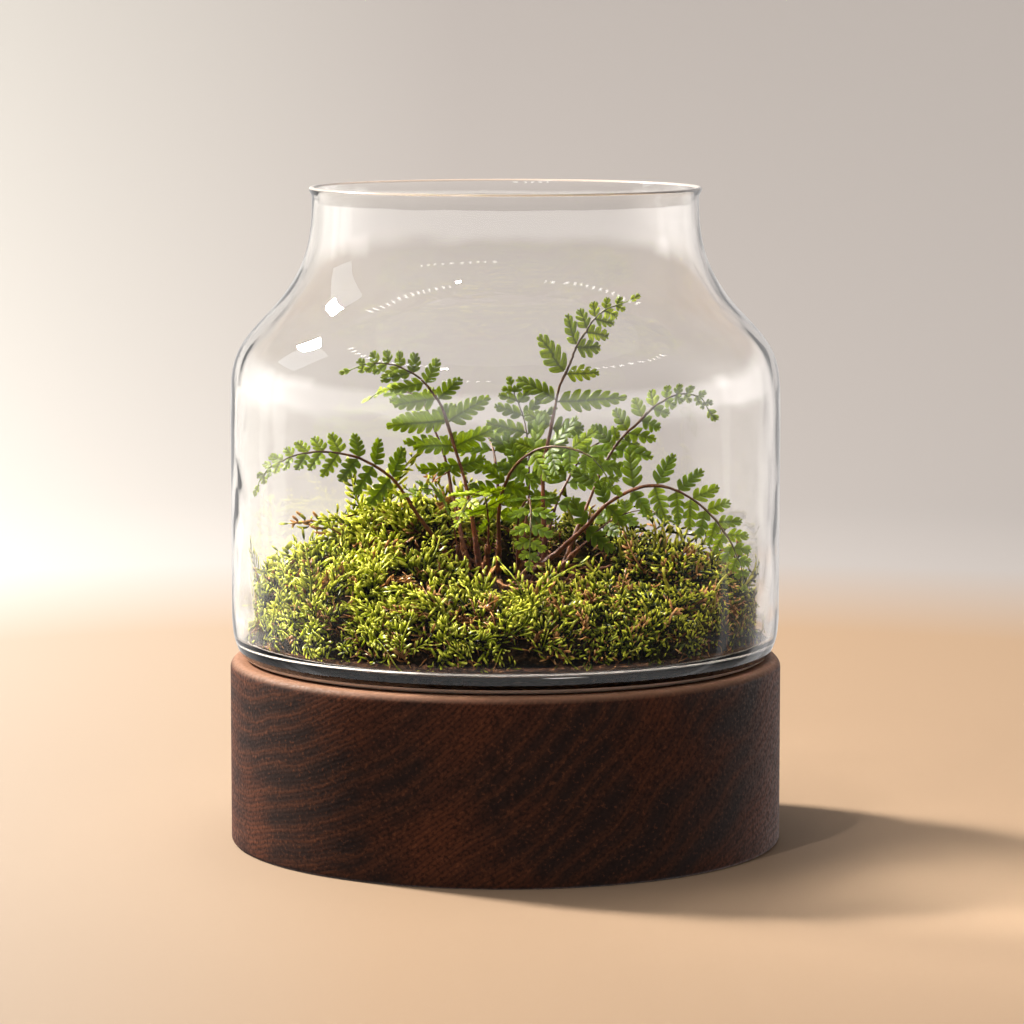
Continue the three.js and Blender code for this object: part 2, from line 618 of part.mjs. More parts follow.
function fernCrown() {
  const reach = (angle) => 0.94 / Math.hypot(Math.cos(angle) / CROWN_HALF_LENGTH, Math.sin(angle) / CROWN_HALF_WIDTH);
  const heightAt = (x, y, share, ring, spoke) => {
    const dome = CROWN_HEIGHT * (1 - share ** 2) + CROWN_PIT * (1 - crownReach(x, y) ** 2);
    const knot = share < 1 ? 1.5 * scatter(ring, spoke + 3) : 0;
    return soilHeight(x, y) + GAP + 0.5 + dome + knot;
  };
  const block = plotBlock(CROWN_CENTRE, reach, [0.34, 0.68, 1], 16, heightAt, JAR_FLOOR + GAP);
  let crown = toSolid(block).subtract(raisedSoil);
  for (const route of roots) crown = crown.add(toSolid(rootTube(route)));
  crown = crown.subtract(raisedSoil);
  for (const plan of Object.values(fronds)) crown = crown.subtract(stalkHole(plan));
  return toGeometry(crown);
}

addPiece("wood_base", woodBase(), walnut);
addPiece("glass_jar", glassJar(), clearGlass);
addPiece("soil", soilBlock, peat);
Object.keys(cushions).forEach((name, seed) => addPiece(name, mossCushion(name, seed), mossGreen));
addPiece("fern_crown", fernCrown(), rootBrown);
for (const [name, plan] of Object.entries(fronds)) addPiece(name, frond(plan), leafGreen);

export default object;
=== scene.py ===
# Looks of the glass plant terrarium: a clear jar on a walnut plinth, with soil, moss and a small fern.
# Lengths are in millimetres until a mesh is made. The jar's axis is Z, and its front looks to -Y.

import math

import bmesh
import bpy
import numpy as np
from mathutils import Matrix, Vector, noise


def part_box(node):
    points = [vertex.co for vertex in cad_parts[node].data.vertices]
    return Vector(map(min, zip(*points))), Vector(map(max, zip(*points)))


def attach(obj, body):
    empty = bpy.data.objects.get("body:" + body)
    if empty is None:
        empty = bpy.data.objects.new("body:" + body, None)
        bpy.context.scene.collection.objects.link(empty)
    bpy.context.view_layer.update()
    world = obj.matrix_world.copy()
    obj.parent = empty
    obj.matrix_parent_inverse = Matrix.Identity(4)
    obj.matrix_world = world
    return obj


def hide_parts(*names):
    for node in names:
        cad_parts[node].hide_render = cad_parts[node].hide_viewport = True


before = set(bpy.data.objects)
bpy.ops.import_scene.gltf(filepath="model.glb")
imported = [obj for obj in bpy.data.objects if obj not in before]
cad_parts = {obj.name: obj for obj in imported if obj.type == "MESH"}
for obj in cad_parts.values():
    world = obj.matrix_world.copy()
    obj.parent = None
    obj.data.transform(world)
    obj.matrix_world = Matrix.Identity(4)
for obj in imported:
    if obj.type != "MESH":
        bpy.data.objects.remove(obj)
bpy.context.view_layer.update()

MM = 0.001


def box_mm(node):
    """The lowest and highest corner of a CAD node in millimetres."""
    low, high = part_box(node)
    return low / MM, high / MM


# Sizes that come from the frame

wood_high = box_mm("wood_base")[1]
jar_low, jar_high = box_mm("glass_jar")
soil_low, soil_high = box_mm("soil")

WOOD_RADIUS = wood_high.x
WOOD_TOP = wood_high.z
JAR_FOOT = jar_low.z
JAR_TOP = jar_high.z
JAR_RADIUS = jar_high.x
JAR_FLOOR = soil_low.z
SOIL_RADIUS = soil_high.x

# Sizes of the plinth, the jar and the ground

WOOD_TOP_ROUND = 1.8
WOOD_FOOT_ROUND = 0.8
GLASS_WALL = 1.7
LIP_WALL = 1.15
JAR_FOOT_RADIUS = 50.5
NECK_RADIUS = 38.3
LIP_RADIUS = 38.9
INNER_RADIUS = JAR_RADIUS - GLASS_WALL
TURNED_SPOKES = 192

SOIL_EDGE = 1.2
SOIL_MOUND = 10.6
MOSS_RADIUS = 49.8
MOSS_SPACING = 1.0
MOSS_EDGE = 0.9
MOSS_ROUNDING = 7.0
CROWN_CENTRE = (1.0, -1.5)
CROWN_HALF_LENGTH = 17.0
CROWN_HALF_WIDTH = 10.0
CROWN_PIT = 5.5
FRONT_DIP = 4.4


# Meshes from points

class Gather:
    """Collects the points, faces and point values of one piece."""

    def __init__(self, *value_names):
        self.points = []
        self.faces = []
        self.finish_of_face = []
        self.values = {name: [] for name in value_names}
        self.count = 0

    def add(self, points, faces, finish=0, **values):
        points = np.asarray(points, float)
        self.points.append(points)
        self.faces.extend([[corner + self.count for corner in face] for face in faces])
        self.finish_of_face.extend([finish] * len(faces))
        for name, kept in self.values.items():
            kept.append(np.broadcast_to(np.asarray(values.get(name, 0.0), float), len(points)))
        self.count += len(points)

    def piece(self, name, finishes, merge=0.0):
        """The piece as a mesh object in metres, with its doubled points merged if merge is given."""
        mesh = bpy.data.meshes.new(name)
        points = np.concatenate(self.points) * MM
        mesh.from_pydata(points.tolist(), [], self.faces)
        for finish in finishes:
            mesh.materials.append(finish)
        mesh.polygons.foreach_set("material_index", self.finish_of_face)
        for value_name, parts in self.values.items():
            attribute = mesh.attributes.new(value_name, "FLOAT", "POINT")
            attribute.data.foreach_set("value", np.concatenate(parts).astype(np.float32))
        if merge:
            merged = bmesh.new()
            merged.from_mesh(mesh)
            bmesh.ops.remove_doubles(merged, verts=merged.verts, dist=merge * MM)
            bmesh.ops.dissolve_degenerate(merged, edges=merged.edges, dist=merge * MM)
            bmesh.ops.recalc_face_normals(merged, faces=merged.faces)
            merged.to_mesh(mesh)
            merged.free()
        mesh.shade_smooth()
        mesh.update()
        result = bpy.data.objects.new(name, mesh)
        bpy.context.scene.collection.objects.link(result)
        return result


def settle(piece, slot, *nodes):
    """Ties a finished piece to the frame."""
    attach(piece, "root")
    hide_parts(*nodes)


def round_turn(count):
    """Angles at even spacing round a full turn."""
    return 2 * np.pi * np.arange(count) / count


def lengthened(knots):
    """Knots with one more at each end, so that a curve has a neighbour on both sides of every stretch."""
    return np.vstack([2 * knots[0] - knots[1], knots, 2 * knots[-1] - knots[-2]])


def gone_along(line):
    """How far along a line each of its points is."""
    return np.concatenate([[0], np.cumsum(np.linalg.norm(np.diff(line, axis=0), axis=1))])


def spline(knots, steps):
    """Points on a uniform Catmull-Rom curve through the knots, with steps between two knots."""
    knots = np.asarray(knots, float)
    ends = lengthened(knots)
    result = []
    for i in range(len(knots) - 1):
        a, b, c, d = ends[i:i + 4]
        for t in np.arange(steps) / steps:
            result.append(0.5 * (2 * b + (c - a) * t + (2 * a - 5 * b + 4 * c - d) * t**2
                                 + (3 * b - a - 3 * c + d) * t**3))
    result.append(knots[-1])
    return np.array(result)


def arc(centre_radius, centre_height, radius, start, end, steps):
    """Points of an arc in the plane of a turned profile, with angles in degrees."""
    angles = np.radians(np.linspace(start, end, steps + 1))
    return np.stack([centre_radius + radius * np.cos(angles), centre_height + radius * np.sin(angles)], 1)


def turned(gather, profile, spokes=TURNED_SPOKES, finish=0):
    """A turned solid. The profile runs from the axis below, outwards and up, back to the axis."""
    profile = np.asarray(profile, float)
    rings = profile[1:-1]
    angles = round_turn(spokes)
    points = [[0, 0, profile[0][1]]]
    for radius, height in rings:
        points.extend(zip(radius * np.cos(angles), radius * np.sin(angles), np.full(spokes, height)))
    points.append([0, 0, profile[-1][1]])
    faces = []
    last = len(points) - 1
    for spoke in range(spokes):
        beside = (spoke + 1) % spokes
        faces.append([0, 1 + beside, 1 + spoke])
        for ring in range(len(rings) - 1):
            low = 1 + ring * spokes
            high = low + spokes
            faces.append([low + spoke, low + beside, high + beside, high + spoke])
        rim = 1 + (len(rings) - 1) * spokes
        faces.append([rim + spoke, rim + beside, last])
    gather.add(points, faces, finish)


def unit(vectors):
    vectors = np.asarray(vectors, float)
    return vectors / np.linalg.norm(vectors, axis=-1, keepdims=True)


def tube(path, radii, sides=8):
    """Points and faces of a closed tube round a path of points."""
    path = np.asarray(path, float)
    radii = np.broadcast_to(radii, len(path))
    along = unit(np.gradient(path, axis=0))
    side = np.cross(along[0], [0.3, 1.0, 0.2])
    angles = round_turn(sides)
    points = [path[0]]
    for place, way, radius in zip(path, along, radii):
        side = unit(side - way * np.dot(side, way))
        other = np.cross(way, side)
        ring = np.outer(np.cos(angles), side) + np.outer(np.sin(angles), other)
        points.extend(place + radius * ring)
    points.append(path[-1])
    faces = []
    end = len(points) - 1
    for i in range(sides):
        j = (i + 1) % sides
        faces.append([0, 1 + j, 1 + i])
        for ring in range(len(path) - 1):
            low = 1 + ring * sides
            faces.append([low + i, low + j, low + sides + j, low + sides + i])
        low = 1 + (len(path) - 1) * sides
        faces.append([low + i, low + j, end])
    return np.array(points), faces


def along_tube(path, sides):
    """For each point of a tube, how far along the path it is, from 0 to 1."""
    shares = np.linspace(0, 1, len(path))
    return np.concatenate([[0], np.repeat(shares, sides), [1]])


def roughness_at(points, scale, seed):
    """A smooth number from about -1 to 1 at each point, the same on every run."""
    shift = Vector((13.7 * seed, 5.1 * seed, 7.9 * seed))
    return np.array([noise.noise(Vector(p) / scale + shift) for p in points])


# Nodes

class NodeTree:
    """Short calls that put nodes into a tree."""

    def __init__(self, tree):
        self.tree = tree

    def node(self, kind, settings=None, **inputs):
        """A new node. inputs are values or other nodes' outputs, by socket name or as in_0, in_1."""
        made = self.tree.nodes.new(kind)
        for name, value in (settings or {}).items():
            setattr(made, name, value)
        for name, value in inputs.items():
            key = int(name[3:]) if name.startswith("in_") else name.replace("_", " ")
            self.feed(made.inputs[key], value)
        return made

    def feed(self, socket, value):
        if isinstance(value, bpy.types.NodeSocket):
            self.tree.links.new(value, socket)
        else:
            socket.default_value = value

    def maths(self, operation, a, b=0.0, c=0.0, clamp=False):
        settings = {"operation": operation, "use_clamp": clamp}
        return self.node("ShaderNodeMath", settings, in_0=a, in_1=b, in_2=c).outputs[0]

    def part_of(self, vector, axis):
        """One of the numbers of a vector, by its letter."""
        return self.node("ShaderNodeSeparateXYZ", Vector=vector).outputs[axis]

    def share(self, value, start, end, kind="LINEAR"):
        """How far a value has gone from start to end, from 0 to 1."""
        settings = {"interpolation_type": kind}
        return self.node("ShaderNodeMapRange", settings, in_0=value, in_1=start, in_2=end).outputs[0]


# Finishes

class Finish(NodeTree):
    """A node material."""

    def __init__(self, name, roughness, **fixed):
        self.material = bpy.data.materials.new(name)
        self.material.use_nodes = True
        super().__init__(self.material.node_tree)
        self.shader = self.tree.nodes["Principled BSDF"]
        self.output = self.tree.nodes["Material Output"]
        self.shader.inputs["Roughness"].default_value = roughness
        for socket, value in fixed.items():
            self.shader.inputs[socket.replace("_", " ")].default_value = value

    def place(self):
        return self.node("ShaderNodeTexCoord").outputs["Object"]

    def value(self, name):
        return self.node("ShaderNodeAttribute", {"attribute_name": name}).outputs["Fac"]

    def speckle(self, scale, detail=3.0, vector=None, roughness=0.5):
        vector = vector or self.place()
        made = self.node("ShaderNodeTexNoise", Vector=vector, Scale=scale, Detail=detail, Roughness=roughness)
        return made.outputs["Fac"]

    def ramp(self, share, *stops):
        """Colours or greys by share. Each stop is a place from 0 to 1 and a colour or grey."""
        made = self.node("ShaderNodeValToRGB", Fac=share)
        elements = made.color_ramp.elements
        while len(elements) < len(stops):
            elements.new(1.0)
        for element, (where, colour) in zip(elements, stops):
            element.position = where
            grey = isinstance(colour, (int, float))
            element.color = (colour, colour, colour, 1) if grey else (*colour, 1)
        return made.outputs["Color"]

    def mix(self, share, a, b, blend="MIX"):
        made = self.node("ShaderNodeMix", {"data_type": "RGBA", "blend_type": blend})
        self.feed(made.inputs["Factor"], share)
        for socket, value in ((made.inputs[6], a), (made.inputs[7], b)):
            self.feed(socket, (*value, 1) if isinstance(value, tuple) else value)
        return made.outputs[2]

    def colour(self, value):
        self.feed(self.shader.inputs["Base Color"], value)

    def bump(self, height, distance, strength=1.0):
        made = self.node("ShaderNodeBump", Height=height, Distance=distance * MM, Strength=strength)
        self.feed(self.shader.inputs["Normal"], made.outputs["Normal"])

    def let_light_through(self, share, colour):
        """Mixes in light that comes through a thin leaf from behind."""
        through = self.node("ShaderNodeBsdfTranslucent", Color=colour)
        mixed = self.node("ShaderNodeMixShader", in_0=share, in_1=self.shader.outputs[0],
                          in_2=through.outputs[0])
        self.feed(self.output.inputs["Surface"], mixed.outputs[0])


def srgb(red, green, blue):
    """A colour given as on a screen, 0 to 255, as light."""
    return tuple(((c / 255 + 0.055) / 1.055) ** 2.4 if c > 10 else c / 3294.6 for c in (red, green, blue))


# The plinth's growth rings lie round an axis that runs from front to back, above the plinth's left side
RING_CENTRE = (-36.5, 0.0, 83.5)
RING_TURN = 14
RING_WIDTH = 7.5
FINE_RING_WIDTH = 0.95
# How far in metres the rings wander. The wood is painted paler, a painted highlight on its rounded top edge,
# from the first of the two depths below up to the second under its top.
RING_WANDER = 0.016
TOP_HIGHLIGHT_FROM = 1.3
TOP_HIGHLIGHT_TO = 0.2
TOP_HIGHLIGHT_STRENGTH = 0.7


def rings_scale(width):
    """The scale at which Blender's wave texture has rings of this width in millimetres."""
    return 2 * math.pi / 20 / (width * MM)


def walnut_finish():
    finish = Finish("walnut", 0.5, Specular_IOR_Level=0.08)
    centre = tuple(-c * MM for c in RING_CENTRE)
    moved = finish.node("ShaderNodeMapping", Vector=finish.place(), Location=centre,
                        Rotation=(0.0, 0.0, math.radians(RING_TURN))).outputs[0]
    wander = finish.node("ShaderNodeTexNoise", Vector=moved, Scale=17.0, Detail=2.0)
    push = finish.node("ShaderNodeVectorMath", {"operation": "MULTIPLY_ADD"}, in_0=wander.outputs["Color"],
                       in_1=(RING_WANDER,) * 3, in_2=moved).outputs[0]
    broad = finish.node("ShaderNodeTexWave", {"wave_type": "RINGS", "rings_direction": "Y"}, Vector=push,
                        Scale=rings_scale(RING_WIDTH), Distortion=2.2, Detail=2.0,
                        Detail_Scale=1.4).outputs["Fac"]
    fine = finish.node("ShaderNodeTexWave", {"wave_type": "RINGS", "rings_direction": "Y"}, Vector=push,
                       Scale=rings_scale(FINE_RING_WIDTH), Distortion=3.0, Detail=2.0,
                       Detail_Scale=2.0).outputs["Fac"]
    patches = finish.speckle(38.0, 3.0, moved)
    pores = finish.speckle(1500.0, 2.0)
    ground = finish.ramp(broad, (0.0, srgb(34, 21, 17)), (0.35, srgb(52, 32, 24)), (0.72, srgb(72, 42, 29)),
                         (1.0, srgb(44, 27, 21)))
    red = finish.mix(finish.ramp(patches, (0.42, 0.0), (0.68, 0.75)), ground, srgb(100, 54, 34))
    lined = finish.mix(finish.ramp(fine, (0.1, 0.45), (0.55, 0.0)), red, srgb(32, 21, 18))
    dotted = finish.mix(finish.ramp(pores, (0.36, 0.65), (0.47, 0.0)), lined, srgb(25, 16, 14))
    bright = finish.mix(finish.ramp(pores, (0.6, 0.0), (0.72, 0.35)), dotted, srgb(128, 76, 50))
    height = finish.part_of(finish.place(), "Z")
    # Painted highlight: a paler band along the rounded top edge, where light catches it.
    rim = finish.share(height, (WOOD_TOP - TOP_HIGHLIGHT_FROM) * MM, (WOOD_TOP - TOP_HIGHLIGHT_TO) * MM)
    finish.colour(finish.mix(finish.maths("MULTIPLY", rim, TOP_HIGHLIGHT_STRENGTH), bright, srgb(146, 108, 86)))
    gloss = finish.ramp(pores, (0.35, 0.7), (0.6, 0.48))
    finish.feed(finish.shader.inputs["Roughness"], gloss)
    finish.bump(finish.maths("MULTIPLY_ADD", fine, 0.35, pores), 0.05, 0.6)
    return finish.material


def glass_finish():
    finish = Finish("clear_glass", 0.0, IOR=1.47, Transmission_Weight=1.0)
    finish.shader.inputs["Base Color"].default_value = (1.0, 1.0, 1.0, 1)
    open_air = finish.node("ShaderNodeBsdfTransparent", Color=(0.95, 0.95, 0.95, 1))
    shadow = finish.node("ShaderNodeLightPath").outputs["Is Shadow Ray"]
    mixed = finish.node("ShaderNodeMixShader", in_0=shadow, in_1=finish.shader.outputs[0],
                        in_2=open_air.outputs[0])
    finish.feed(finish.output.inputs["Surface"], mixed.outputs[0])
    finish.bump(finish.speckle(80.0, 1.0), 0.25)
    return finish.material


def lip_highlight_finish():
    """The fire-polished lip, drawn pale and partly opaque: a painted highlight for the light that the clear
    lip gathers.
    """
    finish = Finish("polished_lip", 0.2, IOR=1.47, Transmission_Weight=0.6)
    finish.colour((*srgb(240, 228, 220), 1))
    return finish.material


def foot_finish():
    """The ground ring that the jar stands on."""
    finish = Finish("ground_foot", 0.5, Specular_IOR_Level=0.3)
    finish.colour((*srgb(214, 206, 200), 1))
    return finish.material


def peat_finish():
    finish = Finish("damp_peat", 0.8, Specular_IOR_Level=0.1)
    grain = finish.speckle(700.0, 5.0)
    patches = finish.speckle(160.0, 3.0)
    dark = finish.ramp(grain, (0.3, srgb(22, 14, 9)), (0.52, srgb(56, 35, 22)), (0.7, srgb(126, 88, 58)))
    finish.colour(finish.mix(finish.ramp(patches, (0.5, 0.0), (0.7, 0.6)), dark, srgb(84, 50, 30)))
    finish.bump(grain, 0.35, 0.8)
    return finish.material


# Living shoots are brown where their tint and the patches of old moss add up to more than this
WORN_FROM = 1.8


def moss_finish():
    """reach is 0 at a shoot's foot and 1 at its tips, tint differs by shoot, straw is 1 on dead bits."""
    finish = Finish("living_moss", 0.26, Specular_IOR_Level=0.2)
    reach = finish.value("reach")
    tint = finish.value("tint")
    # Painted shade: the moss is drawn darker towards its right side, away from the main lamp.
    painted_shade_to_right = finish.maths("MULTIPLY_ADD", finish.part_of(finish.place(), "X"), 18.0, 0.5, clamp=True)
    # Shoots run from near black at the foot to near white-yellow at the tips: partly their own colour, partly
    # painted shade deep in the tufts and a painted highlight on the tips. The brown ramp below does the same
    # for old moss.
    fresh_with_painted_light = finish.ramp(reach, (0.0, srgb(12, 9, 3)), (0.4, srgb(30, 30, 3)), (0.7, srgb(160, 172, 14)),
                        (1.0, srgb(255, 252, 112)))
    deep = finish.ramp(reach, (0.0, srgb(9, 6, 2)), (0.4, srgb(16, 16, 2)), (0.7, srgb(56, 64, 5)),
                       (1.0, srgb(196, 196, 50)))
    living = finish.mix(painted_shade_to_right, fresh_with_painted_light, deep)
    shoots = finish.mix(finish.ramp(tint, (0.1, 0.55), (0.5, 0.0)), living, deep)
    brown = finish.ramp(reach, (0.0, srgb(34, 19, 10)), (0.6, srgb(120, 76, 36)), (1.0, srgb(206, 156, 94)))
    worn = finish.maths("MULTIPLY_ADD", finish.speckle(150.0, 1.5), 1.7, tint)
    aged = finish.maths("MAXIMUM", finish.maths("GREATER_THAN", worn, WORN_FROM), finish.value("straw"))
    colour = finish.mix(aged, shoots, brown)
    finish.colour(colour)
    finish.let_light_through(0.3, colour)
    return finish.material


def thatch_finish():
    """The dead brown felt under the moss."""
    finish = Finish("moss_thatch", 0.9, Specular_IOR_Level=0.0)
    grain = finish.speckle(1300.0, 4.0)
    patches = finish.speckle(220.0, 3.0)
    dark = finish.ramp(grain, (0.35, srgb(10, 7, 4)), (0.55, srgb(28, 19, 10)), (0.72, srgb(66, 46, 24)))
    finish.colour(finish.mix(finish.ramp(patches, (0.5, 0.0), (0.7, 0.5)), dark, srgb(36, 34, 9)))
    finish.bump(grain, 0.4, 0.9)
    return finish.material


def root_finish():
    """age is 0 on dark rootstock and 1 on pale wiry roots."""
    finish = Finish("brown_rootstock", 0.55, Specular_IOR_Level=0.12)
    grain = finish.speckle(900.0, 4.0)
    old = finish.ramp(finish.value("age"), (0.0, srgb(20, 12, 7)), (0.35, srgb(80, 40, 20)),
                      (0.6, srgb(128, 76, 42)), (1.0, srgb(196, 146, 92)))
    finish.colour(finish.mix(finish.ramp(grain, (0.35, 0.75), (0.6, 0.0)), old, srgb(30, 17, 10)))
    finish.bump(grain, 0.15, 0.8)
    return finish.material


def leaf_finish():
    """rib and vein are distances in millimetres, edge is 1 at the outline, tint differs by leaflet."""
    finish = Finish("fern_leaf", 0.38, Specular_IOR_Level=0.15)
    tint = finish.value("tint")
    edge = finish.value("edge")
    flecks = finish.speckle(900.0, 3.0)
    base = finish.ramp(tint, (0.0, srgb(46, 66, 4)), (0.45, srgb(88, 110, 8)), (0.8, srgb(150, 168, 14)),
                       (1.0, srgb(200, 212, 28)))
    paler = finish.mix(finish.ramp(edge, (0.55, 0.0), (1.0, 0.3)), base, srgb(176, 198, 56))
    mottled = finish.mix(finish.ramp(flecks, (0.35, 0.4), (0.6, 0.0)), paler, srgb(46, 74, 10))
    rib = finish.value("rib")
    vein = finish.value("vein")
    slanted = finish.maths("SUBTRACT", rib, finish.maths("MULTIPLY", vein, 1.1))
    waves = finish.maths("SINE", finish.maths("MULTIPLY", slanted, 10.5))
    lined = finish.mix(finish.ramp(waves, (0.35, 0.0), (1.0, 0.4)), mottled, srgb(50, 80, 10))
    veined = finish.mix(finish.ramp(vein, (0.02, 0.7), (0.15, 0.0)), lined, srgb(48, 76, 14))
    # The leaflet's midrib is drawn darker: partly its own colour, partly painted shade in the groove along
    # it.
    ribbed_with_painted_shade = finish.mix(finish.ramp(rib, (0.05, 0.9), (0.3, 0.0)), veined, srgb(52, 58, 14))
    finish.colour(ribbed_with_painted_shade)
    finish.let_light_through(0.46, finish.mix(0.6, ribbed_with_painted_shade, srgb(210, 226, 20)))
    finish.bump(flecks, 0.06, 0.5)
    return finish.material


def stalk_finish():
    """reach is 0 at the stalk's foot and 1 at its tip."""
    finish = Finish("fern_stalk", 0.42, Specular_IOR_Level=0.25)
    length = finish.ramp(finish.value("reach"), (0.0, srgb(84, 40, 14)), (0.3, srgb(104, 54, 18)),
                         (0.65, srgb(84, 50, 14)), (0.85, srgb(82, 70, 14)), (1.0, srgb(112, 132, 24)))
    streaks = finish.speckle(420.0, 3.0)
    finish.colour(finish.mix(finish.ramp(streaks, (0.38, 0.5), (0.6, 0.0)), length, srgb(52, 32, 22)))
    finish.bump(streaks, 0.05, 0.5)
    return finish.material


walnut = walnut_finish()
clear_glass = glass_finish()
polished_lip = lip_highlight_finish()
ground_foot = foot_finish()
damp_peat = peat_finish()
living_moss = moss_finish()
moss_thatch = thatch_finish()
brown_root = root_finish()
fern_leaf = leaf_finish()
fern_stalk = stalk_finish()


# Plinth and jar

def make_plinth():
    top = WOOD_TOP_ROUND
    foot = WOOD_FOOT_ROUND
    middle = np.linspace(foot, WOOD_TOP - top, 12)[1:-1]
    profile = np.vstack([
        [[0, 0], [WOOD_RADIUS * 0.5, 0]],
        arc(WOOD_RADIUS - foot, foot, foot, -90, 0, 5),
        np.stack([np.full(len(middle), WOOD_RADIUS), middle], 1),
        arc(WOOD_RADIUS - top, WOOD_TOP - top, top, 0, 90, 9),
        [[WOOD_RADIUS * 0.5, WOOD_TOP], [0, WOOD_TOP]],
    ])
    gather = Gather()
    turned(gather, profile)
    settle(gather.piece("walnut_plinth", [walnut]), "walnut", "wood_base")


# The jar's outer line from the heel to under the lip: radius, and height above its foot
JAR_LINE = [
    (JAR_RADIUS, 8), (JAR_RADIUS, 30), (JAR_RADIUS, 52), (54.1, 58.6), (52.2, 63), (48.4, 67.4),
    (44.4, 71.6), (40.7, 77.6), (38.9, 83), (NECK_RADIUS, 88.5), (NECK_RADIUS, 92),
]
LINE_STEPS = 30
LINE_SPACING = 1.5
LINE_SMOOTHINGS = 4
# The wall thins towards the lip between these heights above the foot
WALL_THINS = (52, 84)
HEEL_ROUND = 2.2
# The ring that the jar stands on is ground matt
FOOT_RING_HEIGHT = 1.1
FOOT_RING_INSIDE = JAR_FOOT_RADIUS - 1.2
LIP_DEPTH = 0.5


def evened(line, spacing, smoothings):
    """A line with corners at even spacing and no sudden change of curvature."""
    for _ in range(smoothings):
        gone = gone_along(line)
        places = np.linspace(0, gone[-1], round(gone[-1] / spacing) + 1)
        line = np.stack([np.interp(places, gone, line[:, i]) for i in range(2)], 1)
        line[1:-1] = 0.25 * line[:-2] + 0.5 * line[1:-1] + 0.25 * line[2:]
    return line


def make_jar():
    outside = evened(spline(JAR_LINE, LINE_STEPS), LINE_SPACING, LINE_SMOOTHINGS)
    along = unit(np.gradient(outside, axis=0))
    wall = np.interp(outside[:, 1], WALL_THINS, [GLASS_WALL, LIP_WALL])[:, None]
    inside = outside + wall * np.stack([-along[:, 1], along[:, 0]], 1)
    height = JAR_TOP - JAR_FOOT
    floor = JAR_FLOOR - JAR_FOOT
    lip = LIP_WALL / 2
    heel = spline([(JAR_FOOT_RADIUS, 0), (52.3, 0.7), (53.5, 2.4), (54.3, 5), (JAR_RADIUS, 8)], 3)
    profile = np.vstack([
        [[0, 0.4], [JAR_FOOT_RADIUS * 0.5, 0.4], [JAR_FOOT_RADIUS - 4, 0.4], [JAR_FOOT_RADIUS - 3.6, 0.3],
         [JAR_FOOT_RADIUS - 3, 0.02], [JAR_FOOT_RADIUS - 1.5, 0]],
        heel[:-1],
        outside,
        arc(LIP_RADIUS - lip, height - lip, lip, 0, 180, 12),
        inside[::-1],
        arc(INNER_RADIUS - HEEL_ROUND, floor + HEEL_ROUND, HEEL_ROUND, 0, -90, 8),
        [[INNER_RADIUS * 0.5, floor], [0, floor]],
    ])
    profile[:, 1] += JAR_FOOT
    gather = Gather()
    turned(gather, profile)
    jar = gather.piece("blown_glass_jar", [clear_glass, ground_foot, polished_lip])
    for face in jar.data.polygons:
        on_lip = face.center.z > (JAR_TOP - LIP_DEPTH) * MM
        by_foot = face.center.z < (JAR_FOOT + FOOT_RING_HEIGHT) * MM
        if on_lip:
            face.material_index = 2
        if by_foot and face.center.xy.length > FOOT_RING_INSIDE * MM:
            face.material_index = 1
    settle(jar, "clear_glass", "glass_jar")


# Ground: the mound, pit and moss plots of the solids, with a dip in front of the crown that they don't have

FRONT_DIP_CENTRE = (2, -18)
FRONT_DIP_HALF_LENGTH = 14
FRONT_DIP_HALF_WIDTH = 11
MOUND_POWER = 0.95


def crown_reach(x, y):
    """How far a point is from the middle of the crown's oval, with 1 at its rim."""
    return np.hypot((x - CROWN_CENTRE[0]) / CROWN_HALF_LENGTH, (y - CROWN_CENTRE[1]) / CROWN_HALF_WIDTH)


def in_crown(share, turn):
    """The point at a share of the way from the middle of the crown's oval to its rim."""
    return (CROWN_CENTRE[0] + share * CROWN_HALF_LENGTH * math.cos(turn),
            CROWN_CENTRE[1] + share * CROWN_HALF_WIDTH * math.sin(turn))


def soil_height(x, y):
    share = np.minimum(1, np.hypot(x, y) / SOIL_RADIUS)
    mound = SOIL_EDGE + SOIL_MOUND * (1 - share**2) ** MOUND_POWER
    pit = CROWN_PIT * np.maximum(0, 1 - crown_reach(x, y) ** 2)
    beside = (x - FRONT_DIP_CENTRE[0]) / FRONT_DIP_HALF_LENGTH
    ahead = (y - FRONT_DIP_CENTRE[1]) / FRONT_DIP_HALF_WIDTH
    dip = FRONT_DIP * np.exp(-beside**2 - ahead**2)
    return JAR_FLOOR + mound - pit - dip


# Each moss cushion's middle, and how far it rises over the soil. The front one is lower than its solid.
CUSHIONS = {
    "moss_back_left": ((-21, 22), 9.0),
    "moss_left": ((-38, 3), 6.0),
    "moss_front_left": ((-24, -20), 5.4),
    "moss_front_low": ((-10, -39), 3.4),
    "moss_front": ((7, -24), 0.8),
    "moss_front_right": ((26, -33), 3.8),
    "moss_right": ((34, -6), 5.2),
    "moss_back_right": ((27, 24), 6.0),
    "moss_back": ((3, 32), 7.0),
}


WINDING = 2.6


def winding(x, y):
    """A place moved so that the straight borders between the plots wind."""
    return x + WINDING * np.sin(y / 7 + 0.6), y + WINDING * np.sin(x / 8 + 2)


def depth_in_plot(name, x, y):
    """How deep a point lies inside a cushion's plot, below zero outside it."""
    place = winding(x, y)
    away = {}
    for other, ((middle_x, middle_y), _) in CUSHIONS.items():
        centre = winding(middle_x, middle_y)
        away[other] = np.hypot(place[0] - centre[0], place[1] - centre[1])
    nearest = np.min([far for other, far in away.items() if other != name], axis=0)
    to_neighbour = (nearest - away[name] - MOSS_SPACING) / 2
    to_crown = (crown_reach(x, y) - 1) * CROWN_HALF_WIDTH - MOSS_SPACING
    to_glass = MOSS_RADIUS - np.hypot(x, y)
    return np.minimum(np.minimum(to_neighbour, to_crown), to_glass)


